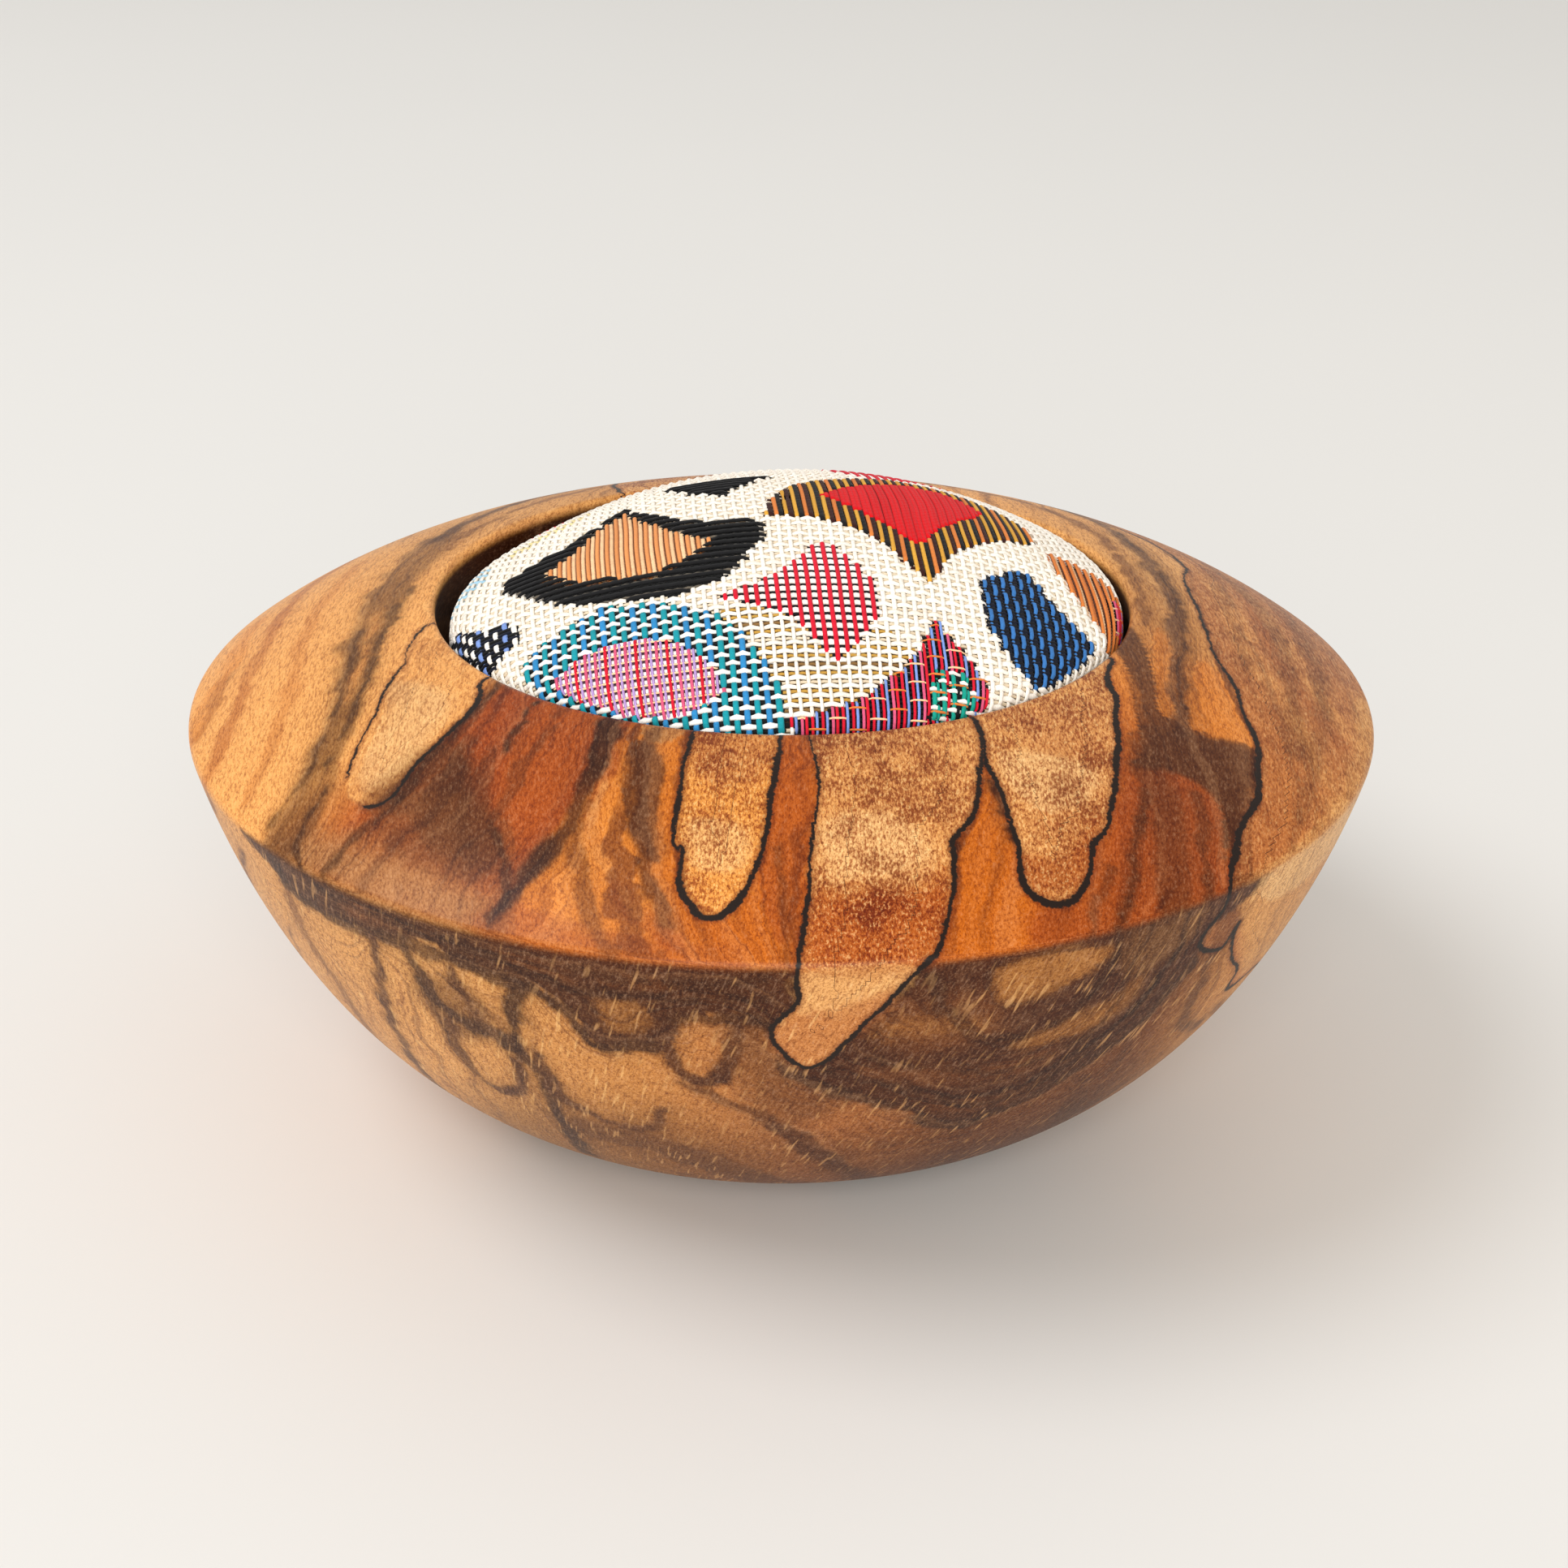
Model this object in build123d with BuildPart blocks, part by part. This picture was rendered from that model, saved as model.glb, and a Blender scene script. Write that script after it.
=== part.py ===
"""Pin cushion: a turned wooden bowl with a removable, cloth-covered cushion set into its mouth.

Millimetres, +Z up. The origin is the centre of the foot's resting face, on the turning axis,
and every piece is round about that axis.
"""

from build123d import *
import math
import os

# ---- Driving dimensions of the bowl ----
BOWL_DIAMETER = 116.0  # over the rounded shoulder, the widest place
SHOULDER_HEIGHT = 39.2  # the edge where the side wall turns into the top surface
SHOULDER_ROUNDING = 1.2
MOUTH_HEIGHT = 48.9  # top of the lip
RECESS_RADIUS = 33.95  # straight wall of the round recess that holds the cushion
RECESS_DEPTH = 18.0
RECESS_CORNER = 1.5  # inside corner between the recess's wall and floor
LIP_ROUNDING = 0.9
TOP_CROWN = 50.0  # radius of the gentle curve from lip to shoulder
FOOT_RADIUS = 22.5  # outer edge of the flat ring that the bowl stands on
FOOT_RING_WIDTH = 4.5
FOOT_HOLLOW_DEPTH = 1.5  # turned dish inside the foot ring

# ---- Driving dimensions of the cushion ----
CUSHION_CLEARANCE = 0.45  # between the cushion's side and the recess wall
DOME_RISE = 9.8  # crown of the cushion above the lip
SHOULDER_OF_DOME = 4.0  # rounding where the cushion's side turns into its dome
BASE_ROUNDING = 2.5  # rounding round the bottom edge of the cushion
COVER_THICKNESS = 0.8  # one layer of tapestry cloth
GATHER_THICKNESS = 1.6  # pleats of the cover drawn flat under the disc
GATHER_OPENING = 16.3  # radius left open inside the drawn-up edge of the cover
LINER_THICKNESS = 0.4  # one layer of calico
LINER_OPENING = 12.0  # radius left open inside the drawn-up edge of the liner
LINER_BASE_ROUNDING = 1.2
DISC_THICKNESS = 4.0
THREAD_RADIUS = 0.35
THREAD_GAP = 0.05  # between the thread's ring and the edge of the cover
KNOT_RADIUS = 0.72
KNOT_OFFSET = 0.4  # the knot's centre, inside the ring's centre line

# ---- Sizes worked out from the ones above ----
FLOOR_HEIGHT = MOUTH_HEIGHT - RECESS_DEPTH
LIP_RADIUS = RECESS_RADIUS + LIP_ROUNDING
SHOULDER_CORNER = BOWL_DIAMETER / 2 + 0.153  # sharp corner before it is rounded
CUSHION_RADIUS = RECESS_RADIUS - CUSHION_CLEARANCE
DOME_RADIUS = (CUSHION_RADIUS**2 + DOME_RISE**2) / (2 * DOME_RISE)
DOME_CENTRE = MOUTH_HEIGHT + DOME_RISE - DOME_RADIUS
DISC_BOTTOM = FLOOR_HEIGHT + GATHER_THICKNESS
DISC_TOP = DISC_BOTTOM + DISC_THICKNESS
THREAD_RING_RADIUS = GATHER_OPENING - THREAD_GAP - THREAD_RADIUS
THREAD_HEIGHT = FLOOR_HEIGHT + GATHER_THICKNESS / 2


def save(piece, label):
    """Labels a finished piece and writes it as one STEP file."""
    piece.part.label = label
    export_step(piece.part, f"parts/{label}.step")


def corner_at(sketch, radius, height):
    """The corner of a half profile nearest to a radius and height."""
    target = Vector(radius, height, 0)
    return sketch.vertices().sort_by_distance(target)[0]


def turned_bowl():
    """The wooden bowl: foot ring, swelling side, crowned top and a flat-bottomed recess."""
    with BuildPart() as bowl:
        with BuildSketch(Plane.XZ) as profile:
            with BuildLine():
                Polyline(
                    (0, FLOOR_HEIGHT),
                    (0, FOOT_HOLLOW_DEPTH),
                    (FOOT_RADIUS - FOOT_RING_WIDTH - FOOT_HOLLOW_DEPTH, FOOT_HOLLOW_DEPTH),
                    (FOOT_RADIUS - FOOT_RING_WIDTH, 0),
                    (FOOT_RADIUS, 0),
                )
                Bezier(
                    (FOOT_RADIUS, 0),
                    (FOOT_RADIUS + 23.0, 0.4),
                    (SHOULDER_CORNER - 2.6, SHOULDER_HEIGHT - 11.1),
                    (SHOULDER_CORNER, SHOULDER_HEIGHT),
                )
                RadiusArc((SHOULDER_CORNER, SHOULDER_HEIGHT), (RECESS_RADIUS, MOUTH_HEIGHT), -TOP_CROWN)
                Polyline(
                    (RECESS_RADIUS, MOUTH_HEIGHT),
                    (RECESS_RADIUS, FLOOR_HEIGHT),
                    (0, FLOOR_HEIGHT),
                )
            make_face()
            fillet(corner_at(profile, SHOULDER_CORNER, SHOULDER_HEIGHT), SHOULDER_ROUNDING)
            fillet(corner_at(profile, RECESS_RADIUS, MOUTH_HEIGHT), LIP_ROUNDING)
            fillet(corner_at(profile, RECESS_RADIUS, FLOOR_HEIGHT), RECESS_CORNER)
        revolve(axis=Axis.Z)
    return bowl


def cushion_form(inset, bottom, base_rounding):
    """A domed round form, a given distance inside the cushion's outer surface, flat at bottom."""
    side = CUSHION_RADIUS - inset
    crown = DOME_RADIUS - inset
    side_top = DOME_CENTRE + math.sqrt(crown**2 - side**2)
    with BuildPart() as form:
        with BuildSketch(Plane.XZ) as profile:
            with BuildLine():
                Polyline((0, DOME_CENTRE + crown), (0, bottom), (side, bottom), (side, side_top))
                RadiusArc((side, side_top), (0, DOME_CENTRE + crown), -crown)
            make_face()
            fillet(corner_at(profile, side, side_top), SHOULDER_OF_DOME - inset)
            fillet(corner_at(profile, side, bottom), base_rounding)
        revolve(axis=Axis.Z)
    return form


def cloth_bag(inset, thickness, bottom, base_thickness, base_rounding, opening):
    """A round cloth bag: a shell about a domed form, its edge drawn in underneath to an opening."""
    outside = cushion_form(inset, bottom, base_rounding)
    inside = cushion_form(inset + thickness, bottom + base_thickness, base_rounding - thickness)
    with BuildPart() as bag:
        add(outside.part)
        add(inside.part, mode=Mode.SUBTRACT)
        with BuildSketch(Plane.XY.offset(bottom)):
            Circle(opening)
        extrude(amount=base_thickness, mode=Mode.SUBTRACT)
    return bag


def cushion_cover():
    """Tapestry cloth over the dome and side, pleated flat under the backing disc."""
    return cloth_bag(
        0, COVER_THICKNESS, FLOOR_HEIGHT, GATHER_THICKNESS, BASE_ROUNDING, GATHER_OPENING
    )


def cushion_liner():
    """Calico bag that holds the stuffing, drawn in on top of the backing disc."""
    return cloth_bag(
        COVER_THICKNESS, LINER_THICKNESS, DISC_TOP, LINER_THICKNESS, LINER_BASE_ROUNDING, LINER_OPENING
    )


def stuffing():
    """Firm fibre filling inside the liner."""
    return cushion_form(
        COVER_THICKNESS + LINER_THICKNESS,
        DISC_TOP + LINER_THICKNESS,
        LINER_BASE_ROUNDING - LINER_THICKNESS,
    )


def backing_disc():
    """Plywood disc that keeps the cushion's base flat; its lower edge is rounded for the cloth."""
    with BuildPart() as disc:
        with BuildSketch(Plane.XY.offset(DISC_BOTTOM)):
            Circle(CUSHION_RADIUS - COVER_THICKNESS)
        extrude(amount=DISC_THICKNESS)
        lower_edge = disc.faces().sort_by(Axis.Z)[0].edges()
        fillet(lower_edge, BASE_ROUNDING - COVER_THICKNESS)
    return disc


def gathering_thread():
    """Running stitch that draws the cover's edge together under the disc, with its knot."""
    with BuildPart() as thread:
        with BuildSketch(Plane.XZ):
            with Locations((THREAD_RING_RADIUS, THREAD_HEIGHT)):
                Circle(THREAD_RADIUS)
        revolve(axis=Axis.Z)
        with Locations((0, KNOT_OFFSET - THREAD_RING_RADIUS, THREAD_HEIGHT)):
            Sphere(KNOT_RADIUS)
    return thread


os.makedirs("parts", exist_ok=True)
save(turned_bowl(), "bowl")
save(cushion_cover(), "cushion_cover")
save(cushion_liner(), "cushion_liner")
save(stuffing(), "stuffing")
save(backing_disc(), "backing_disc")
save(gathering_thread(), "gathering_thread")
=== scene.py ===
"""Looks of a turned wooden pin cushion: a spalted bowl and a lift-out cushion in tapestry cloth.

Lengths below are millimetres unless a name says otherwise. On the bowl, a place is an azimuth in
degrees from the front (-Y), positive towards +X, and s, the length along the surface from the lip.
"""

import math

import bmesh
import bpy
import numpy as np
from mathutils import Matrix, Vector


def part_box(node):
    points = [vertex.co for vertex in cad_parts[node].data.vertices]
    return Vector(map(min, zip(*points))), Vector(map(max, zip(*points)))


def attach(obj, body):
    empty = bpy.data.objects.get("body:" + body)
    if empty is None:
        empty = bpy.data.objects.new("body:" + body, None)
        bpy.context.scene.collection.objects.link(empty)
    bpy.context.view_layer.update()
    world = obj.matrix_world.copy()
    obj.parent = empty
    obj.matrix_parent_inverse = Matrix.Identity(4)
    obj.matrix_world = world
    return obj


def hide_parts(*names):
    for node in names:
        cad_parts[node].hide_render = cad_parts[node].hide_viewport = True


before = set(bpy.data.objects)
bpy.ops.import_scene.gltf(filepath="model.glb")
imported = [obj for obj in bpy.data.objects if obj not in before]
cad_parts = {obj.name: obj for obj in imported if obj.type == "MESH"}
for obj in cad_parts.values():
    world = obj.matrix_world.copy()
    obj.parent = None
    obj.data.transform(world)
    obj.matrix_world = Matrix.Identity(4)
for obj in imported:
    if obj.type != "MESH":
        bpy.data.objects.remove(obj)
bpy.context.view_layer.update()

MM = 0.001
BOWL_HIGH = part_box("bowl")[1] / MM
COVER_LOW, COVER_HIGH = (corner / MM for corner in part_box("cushion_cover"))
DISC_LOW, DISC_HIGH = (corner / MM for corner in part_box("backing_disc"))
THREAD_LOW, THREAD_HIGH = (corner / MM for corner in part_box("gathering_thread"))

# ---- Sizes of the bowl's section, as in the CAD model ----
BOWL_RADIUS = BOWL_HIGH.x
FLOOR_HEIGHT = COVER_LOW.z
RECESS_DEPTH = 18.0
CUSHION_CLEARANCE = 0.45  # between the cushion's side and the recess wall
MOUTH_HEIGHT = FLOOR_HEIGHT + RECESS_DEPTH
RECESS_RADIUS = COVER_HIGH.x + CUSHION_CLEARANCE
SHOULDER = (BOWL_RADIUS + 0.153, 39.2)  # the sharp corner before it is rounded
TOP_CROWN = 50.0
FOOT_RADIUS = 22.5
FOOT_RING_WIDTH = 4.5
FOOT_HOLLOW_DEPTH = 1.5
WALL_TOP_HANDLE = (SHOULDER[0] - 2.6, SHOULDER[1] - 11.1)  # of the wall's curve
WALL_FOOT_HANDLE = (FOOT_RADIUS + 23, 0.4)
RECESS_CORNER_REACH = 1.5  # how far the rounding of each corner runs along its sides
LIP_REACH = 1.0
SHOULDER_REACH = 0.78

# ---- Sizes of the cushion, as in the CAD model ----
CUSHION_RADIUS = COVER_HIGH.x
CUSHION_TOP = COVER_HIGH.z
DOME_RISE = CUSHION_TOP - MOUTH_HEIGHT
DOME_RADIUS = (CUSHION_RADIUS**2 + DOME_RISE**2) / (2 * DOME_RISE)
COVER_THICKNESS = 0.8
LINER_THICKNESS = 0.4
GATHER_OPENING = 16.3
LINER_OPENING = 12.0
THREAD_RADIUS = 0.35


# ======== Number helpers ========
def smooth(value, low, high):
    """0 below low, 1 above high and an S-curve between; high may be the smaller one."""
    t = np.clip((value - low) / (high - low), 0, 1)
    return t * t * (3 - 2 * t)


def srgb(code):
    """Linear colour of a hex sRGB code."""
    parts = [int(code[k : k + 2], 16) / 255 for k in (0, 2, 4)]
    return tuple(p / 12.92 if p <= 0.04045 else ((p + 0.055) / 1.055) ** 2.4 for p in parts)


def waves(points, length, seed, count=7):
    """Smooth noise from -1 to 1: a few sine waves about length long, in seeded directions."""
    random = np.random.default_rng(seed)
    total = np.zeros(len(points))
    for _ in range(count):
        direction = random.normal(size=3)
        direction *= 2 * math.pi / (length * random.uniform(0.6, 1.7) * np.linalg.norm(direction))
        total += np.sin(points @ direction + random.uniform(0, 2 * math.pi))
    return total / count**0.5 / 1.5


def spline(knots, steps=5, closed=False):
    """A smooth (Catmull-Rom) line through knots."""
    p = np.array(knots, float)
    ends = (p[-1:], p[:2]) if closed else (2 * p[:1] - p[1:2], 2 * p[-1:] - p[-2:-1])
    q = np.vstack([ends[0], p, ends[1]])
    t = np.linspace(0, 1, steps, endpoint=False)[:, None]
    spans = []
    for a, b, c, d in zip(q[:-3], q[1:-2], q[2:-1], q[3:]):
        squared, cubed = 2 * a - 5 * b + 4 * c - d, 3 * b - a - 3 * c + d
        spans.append(0.5 * (2 * b + (c - a) * t + squared * t**2 + cubed * t**3))
    return np.vstack(spans if closed else spans + [p[-1:]])


def inside(x, y, outline):
    """Whether each place is inside a closed outline."""
    found = np.zeros(x.shape, bool)
    for (x1, y1), (x2, y2) in zip(outline, np.roll(outline, -1, 0)):
        if y1 != y2:
            found ^= ((y1 > y) != (y2 > y)) & (x < (x2 - x1) * (y - y1) / (y2 - y1) + x1)
    return found


def distance_to_line(points, line, reach):
    """Distance from each point to a line of 3-D points, no more than reach."""
    result = np.full(len(points), float(reach))
    for start, end in zip(line[:-1], line[1:]):
        low = np.minimum(start, end) - reach
        high = np.maximum(start, end) + reach
        near = np.flatnonzero(np.all((points > low) & (points < high), axis=1))
        if len(near) == 0:
            continue
        along = end - start
        offset = points[near] - start
        t = np.clip(offset @ along / max(along @ along, 1e-9), 0, 1)
        gap = np.linalg.norm(offset - t[:, None] * along, axis=1)
        result[near] = np.minimum(result[near], gap)
    return result


# ======== Mesh helpers ========
def make_piece(name, points, quads, triangles=(), fix_normals=True):
    """A smooth mesh object from points in millimetres."""
    triangles = np.array(triangles, int).reshape(-1, 3)
    corners = np.concatenate([quads.ravel(), triangles.ravel()]).astype(np.int32)
    starts = np.concatenate([np.arange(len(quads)) * 4, len(quads) * 4 + np.arange(len(triangles)) * 3])
    mesh = bpy.data.meshes.new(name)
    mesh.vertices.add(len(points))
    mesh.vertices.foreach_set("co", (points * MM).astype(np.float32).ravel())
    mesh.loops.add(len(corners))
    mesh.loops.foreach_set("vertex_index", corners)
    mesh.polygons.add(len(starts))
    mesh.polygons.foreach_set("loop_start", starts.astype(np.int32))
    mesh.update(calc_edges=True)
    if fix_normals:
        work = bmesh.new()
        work.from_mesh(mesh)
        bmesh.ops.recalc_face_normals(work, faces=work.faces)
        work.to_mesh(mesh)
        work.free()
    mesh.polygons.foreach_set("use_smooth", np.ones(len(starts), bool))
    piece = bpy.data.objects.new(name, mesh)
    bpy.context.scene.collection.objects.link(piece)
    return piece


def add_number(piece, name, values):
    """Stores one number per vertex for the shader."""
    layer = piece.data.attributes.new(name, "FLOAT", "POINT")
    layer.data.foreach_set("value", np.asarray(values, np.float32))


def add_colour(piece, name, values):
    """Stores one linear colour per vertex for the shader."""
    layer = piece.data.attributes.new(name, "FLOAT_COLOR", "POINT")
    rgba = np.column_stack([values, np.ones(len(values))])
    layer.data.foreach_set("color", rgba.astype(np.float32).ravel())


def band_faces(rows, columns):
    """Quads of a grid whose columns run all the way round."""
    i, j = np.meshgrid(np.arange(rows - 1), np.arange(columns), indexing="ij")
    here, beside = i * columns + j, i * columns + (j + 1) % columns
    return np.stack([here, beside, beside + columns, here + columns], -1).reshape(-1, 4)


def lathe_points(section, azimuths):
    """Points of a section (radius, height) turned round +Z, one row per section point."""
    a = np.radians(azimuths)
    x = np.outer(section[:, 0], np.sin(a))
    y = -np.outer(section[:, 0], np.cos(a))
    z = np.repeat(section[:, 1:], len(a), axis=1)
    return np.stack([x, y, z], -1).reshape(-1, 3)


def close_ends(points, columns):
    """Closes both end rows of a turned form on its axis: all its points, and the triangles."""
    count, j = len(points), np.arange(columns)
    poles = [(0, 0, points[0, 2]), (0, 0, points[-1, 2])]
    fans = [
        np.column_stack([start + j, start + (j + 1) % columns, np.full(columns, pole)])
        for start, pole in ((0, count), (count - columns, count + 1))
    ]
    return np.vstack([points, poles]), np.vstack(fans)


def dress(piece, body, slot, material, *nodes):
    """Gives a finished piece its material and its CAD body, and hides the CAD nodes that it stands for."""
    piece.data.materials.clear()
    piece.data.materials.append(material)
    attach(piece, body)
    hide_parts(*nodes)


# ======== Sections ========
def straight(start, end, step=0.2):
    """Evenly spaced section points from start up to, not including, end."""
    start, end = np.array(start, float), np.array(end, float)
    count = max(1, round(np.linalg.norm(end - start) / step))
    return start + (end - start) * np.linspace(0, 1, count, endpoint=False)[:, None]


def crowned(start, end, radius, count=120):
    """An arc that bulges outwards and up from start to end."""
    start, end = np.array(start, float), np.array(end, float)
    chord = end - start
    length = np.linalg.norm(chord)
    across = np.array([-chord[1], chord[0]]) / length
    centre = (start + end) / 2 - across * math.sqrt(radius**2 - length**2 / 4)
    first, last = (math.atan2(*(p - centre)[::-1]) for p in (start, end))
    angles = np.linspace(first, last, count, endpoint=False)
    return centre + radius * np.column_stack([np.cos(angles), np.sin(angles)])


def cubic(p0, p1, p2, p3, count=300):
    """A Bezier curve up to, not including, its last point."""
    p0, p1, p2, p3 = (np.array(p, float) for p in (p0, p1, p2, p3))
    t = np.linspace(0, 1, count, endpoint=False)[:, None]
    return (1 - t) ** 3 * p0 + 3 * t * (1 - t) ** 2 * p1 + 3 * t**2 * (1 - t) * p2 + t**3 * p3


def soften(path, corner, reach):
    """Rounds a path's corner: points nearer than reach give way to a small curve."""
    corner = np.array(corner, float)
    gap = np.linalg.norm(path - corner, axis=1)
    near = np.flatnonzero(gap < reach)
    before, after = path[: near[0]], path[near[-1] + 1 :]
    start, end = (
        corner + (p - corner) / np.linalg.norm(p - corner) * reach for p in (before[-1], after[0])
    )
    t = np.linspace(0, 1, 9)[:, None]
    return np.vstack([before, (1 - t) ** 2 * start + 2 * t * (1 - t) * corner + t**2 * end, after])


def lengths(path):
    """Length along a path at each of its points."""
    return np.concatenate([[0], np.cumsum(np.linalg.norm(np.diff(path, axis=0), axis=1))])


def at_length(path, s):
    """Section points at the given lengths along a path."""
    along = lengths(path)
    return np.column_stack([np.interp(s, along, path[:, 0]), np.interp(s, along, path[:, 1])])


def bowl_section():
    """The bowl's section from the recess floor's middle, over the lip, to the foot's middle."""
    mouth = (RECESS_RADIUS, MOUTH_HEIGHT)
    hollow_edge = FOOT_RADIUS - FOOT_RING_WIDTH
    path = np.vstack(
        [
            straight((0, FLOOR_HEIGHT), (RECESS_RADIUS, FLOOR_HEIGHT)),
            straight((RECESS_RADIUS, FLOOR_HEIGHT), mouth),
            crowned(mouth, SHOULDER, TOP_CROWN),
            cubic(SHOULDER, WALL_TOP_HANDLE, WALL_FOOT_HANDLE, (FOOT_RADIUS, 0)),
            straight((FOOT_RADIUS, 0), (hollow_edge, 0)),
            straight((hollow_edge, 0), (hollow_edge - FOOT_HOLLOW_DEPTH, FOOT_HOLLOW_DEPTH)),
            straight((hollow_edge - FOOT_HOLLOW_DEPTH, FOOT_HOLLOW_DEPTH), (0, FOOT_HOLLOW_DEPTH)),
            [(0, FOOT_HOLLOW_DEPTH)],
        ]
    )
    path = soften(path, (RECESS_RADIUS, FLOOR_HEIGHT), RECESS_CORNER_REACH)
    path = soften(path, mouth, LIP_REACH)
    return soften(path, SHOULDER, SHOULDER_REACH)


BOWL_PATH = bowl_section()
LIP_GAP = np.linalg.norm(BOWL_PATH - np.array([RECESS_RADIUS, MOUTH_HEIGHT]), axis=1)
LIP_LENGTH = lengths(BOWL_PATH)[LIP_GAP.argmin()]  # of the path before s = 0


def bowl_place(azimuth, s):
    """3-D points of the bowl's surface at azimuths and lengths s from the lip."""
    section = at_length(BOWL_PATH, np.asarray(s, float) + LIP_LENGTH)
    a = np.radians(azimuth)
    return np.column_stack([section[:, 0] * np.sin(a), -section[:, 0] * np.cos(a), section[:, 1]])


# ======== Shader helper ========
class Shader:
    """Builds one node material: each method adds a node and returns its output socket."""

    def __init__(self, name, **fixed):
        self.material = bpy.data.materials.new(name)
        self.material.use_nodes = True
        self.tree = self.material.node_tree
        self.tree.nodes.clear()
        output = self.tree.nodes.new("ShaderNodeOutputMaterial")
        self.bsdf = self.tree.nodes.new("ShaderNodeBsdfPrincipled")
        self.tree.links.new(self.bsdf.outputs[0], output.inputs[0])
        for socket, value in fixed.items():
            self.bsdf.inputs[socket.replace("_", " ")].default_value = value

    def feed(self, socket, value):
        if isinstance(value, bpy.types.NodeSocket):
            self.tree.links.new(value, socket)
        elif isinstance(value, str):
            socket.default_value = (*srgb(value), 1)
        elif value is not None:
            socket.default_value = value

    def node(self, kind, inputs=(), **settings):
        made = self.tree.nodes.new(kind)
        for key, value in settings.items():
            setattr(made, key, value)
        for index, value in enumerate(inputs):
            self.feed(made.inputs[index], value)
        return made

    def point(self, scale=(1, 1, 1)):
        """The place on the piece, in millimetres, times scale."""
        place = self.node("ShaderNodeTexCoord").outputs["Object"]
        return self.node(
            "ShaderNodeVectorMath", [place, [k / MM for k in scale]], operation="MULTIPLY"
        ).outputs[0]

    def vector(self, x, y, z=0.0):
        return self.node("ShaderNodeCombineXYZ", [x, y, z]).outputs[0]

    def math(self, operation, a, b=None, c=None):
        return self.node("ShaderNodeMath", [a, b, c], operation=operation).outputs[0]

    def noise(self, place, scale=1.0, detail=2.0, rough=0.5):
        made = self.node("ShaderNodeTexNoise", noise_dimensions="3D")
        self.feed(made.inputs["Vector"], place)
        for name, value in (("Scale", scale), ("Detail", detail), ("Roughness", rough)):
            made.inputs[name].default_value = value
        return made.outputs[0]

    def line_noise(self, value, scale=1.0, detail=2.0, rough=0.5):
        """Noise along one number."""
        made = self.node("ShaderNodeTexNoise", noise_dimensions="1D")
        self.feed(made.inputs["W"], value)
        for name, setting in (("Scale", scale), ("Detail", detail), ("Roughness", rough)):
            made.inputs[name].default_value = setting
        return made.outputs[0]

    def number(self, name):
        return self.node("ShaderNodeAttribute", attribute_name=name).outputs["Fac"]

    def colour(self, name):
        return self.node("ShaderNodeAttribute", attribute_name=name).outputs["Color"]

    def step(self, value, low, high, out_low=0.0, out_high=1.0):
        """An S-curve from out_low, at low, to out_high, at high."""
        made = self.node("ShaderNodeMapRange", interpolation_type="SMOOTHSTEP")
        for name, setting in zip(("Value", "From Min", "From Max", "To Min", "To Max"),
                                 (value, low, high, out_low, out_high)):
            self.feed(made.inputs[name], setting)
        return made.outputs[0]

    def mix(self, share, a, b, blend="MIX"):
        made = self.node("ShaderNodeMix", data_type="RGBA", blend_type=blend)
        self.feed(made.inputs[0], share)
        self.feed(made.inputs[6], a)
        self.feed(made.inputs[7], b)
        return made.outputs[2]

    def shaded(self, share, colour, by, blend="MULTIPLY"):
        """A colour with a share of itself, multiplied by or screened with another, laid over it."""
        return self.mix(share, colour, self.mix(1.0, colour, by, blend))

    def bump(self, height, distance, strength=1.0):
        """Bump of a height from 0 to 1 that stands for distance millimetres."""
        made = self.node("ShaderNodeBump")
        made.inputs["Strength"].default_value = strength
        made.inputs["Distance"].default_value = distance * MM
        self.feed(made.inputs["Height"], height)
        self.feed(self.bsdf.inputs["Normal"], made.outputs[0])

    def finish(self, colour, roughness=None):
        self.feed(self.bsdf.inputs["Base Color"], colour)
        if roughness is not None:
            self.feed(self.bsdf.inputs["Roughness"], roughness)
        return self.material


# ======== The wood's figure ========
WOOD = {
    "honey": "f2b981",
    "amber": "dd914c",
    "orange": "ca772b",
    "rust": "b9662f",
    "heart": "ad5a2b",
    "umber": "603826",
    "cocoa": "84543a",
    "bark": "4c2c1e",
    "layer": "582f1b",
    "deep": "5a3018",
    "taupe": "b98f70",
    "sand": "e3b07e",
    "pale": "edc79c",
    "tan": "cf9766",
    "pink": "c88a63",
    "tongue": "e5a566",
    "speckled": "e0a978",
}
# The ground colour round the bowl, above and below the shoulder: azimuth and colour.
GROUND_ABOVE = (
    (-180, "tan"), (-130, "sand"), (-95, "honey"), (-52, "honey"), (-43, "rust"), (-24, "heart"),
    (-19, "amber"), (-6, "orange"), (6, "orange"), (24, "orange"), (40, "rust"), (56, "amber"),
    (75, "tan"), (105, "sand"), (150, "honey"), (180, "tan"),
)
GROUND_BELOW = (
    (-180, "tan"), (-120, "honey"), (-80, "honey"), (-55, "sand"), (-30, "sand"), (-12, "tan"),
    (2, "pink"), (20, "cocoa"), (38, "cocoa"), (48, "tan"), (60, "sand"), (85, "sand"), (130, "honey"),
    (180, "tan"),
)
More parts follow.
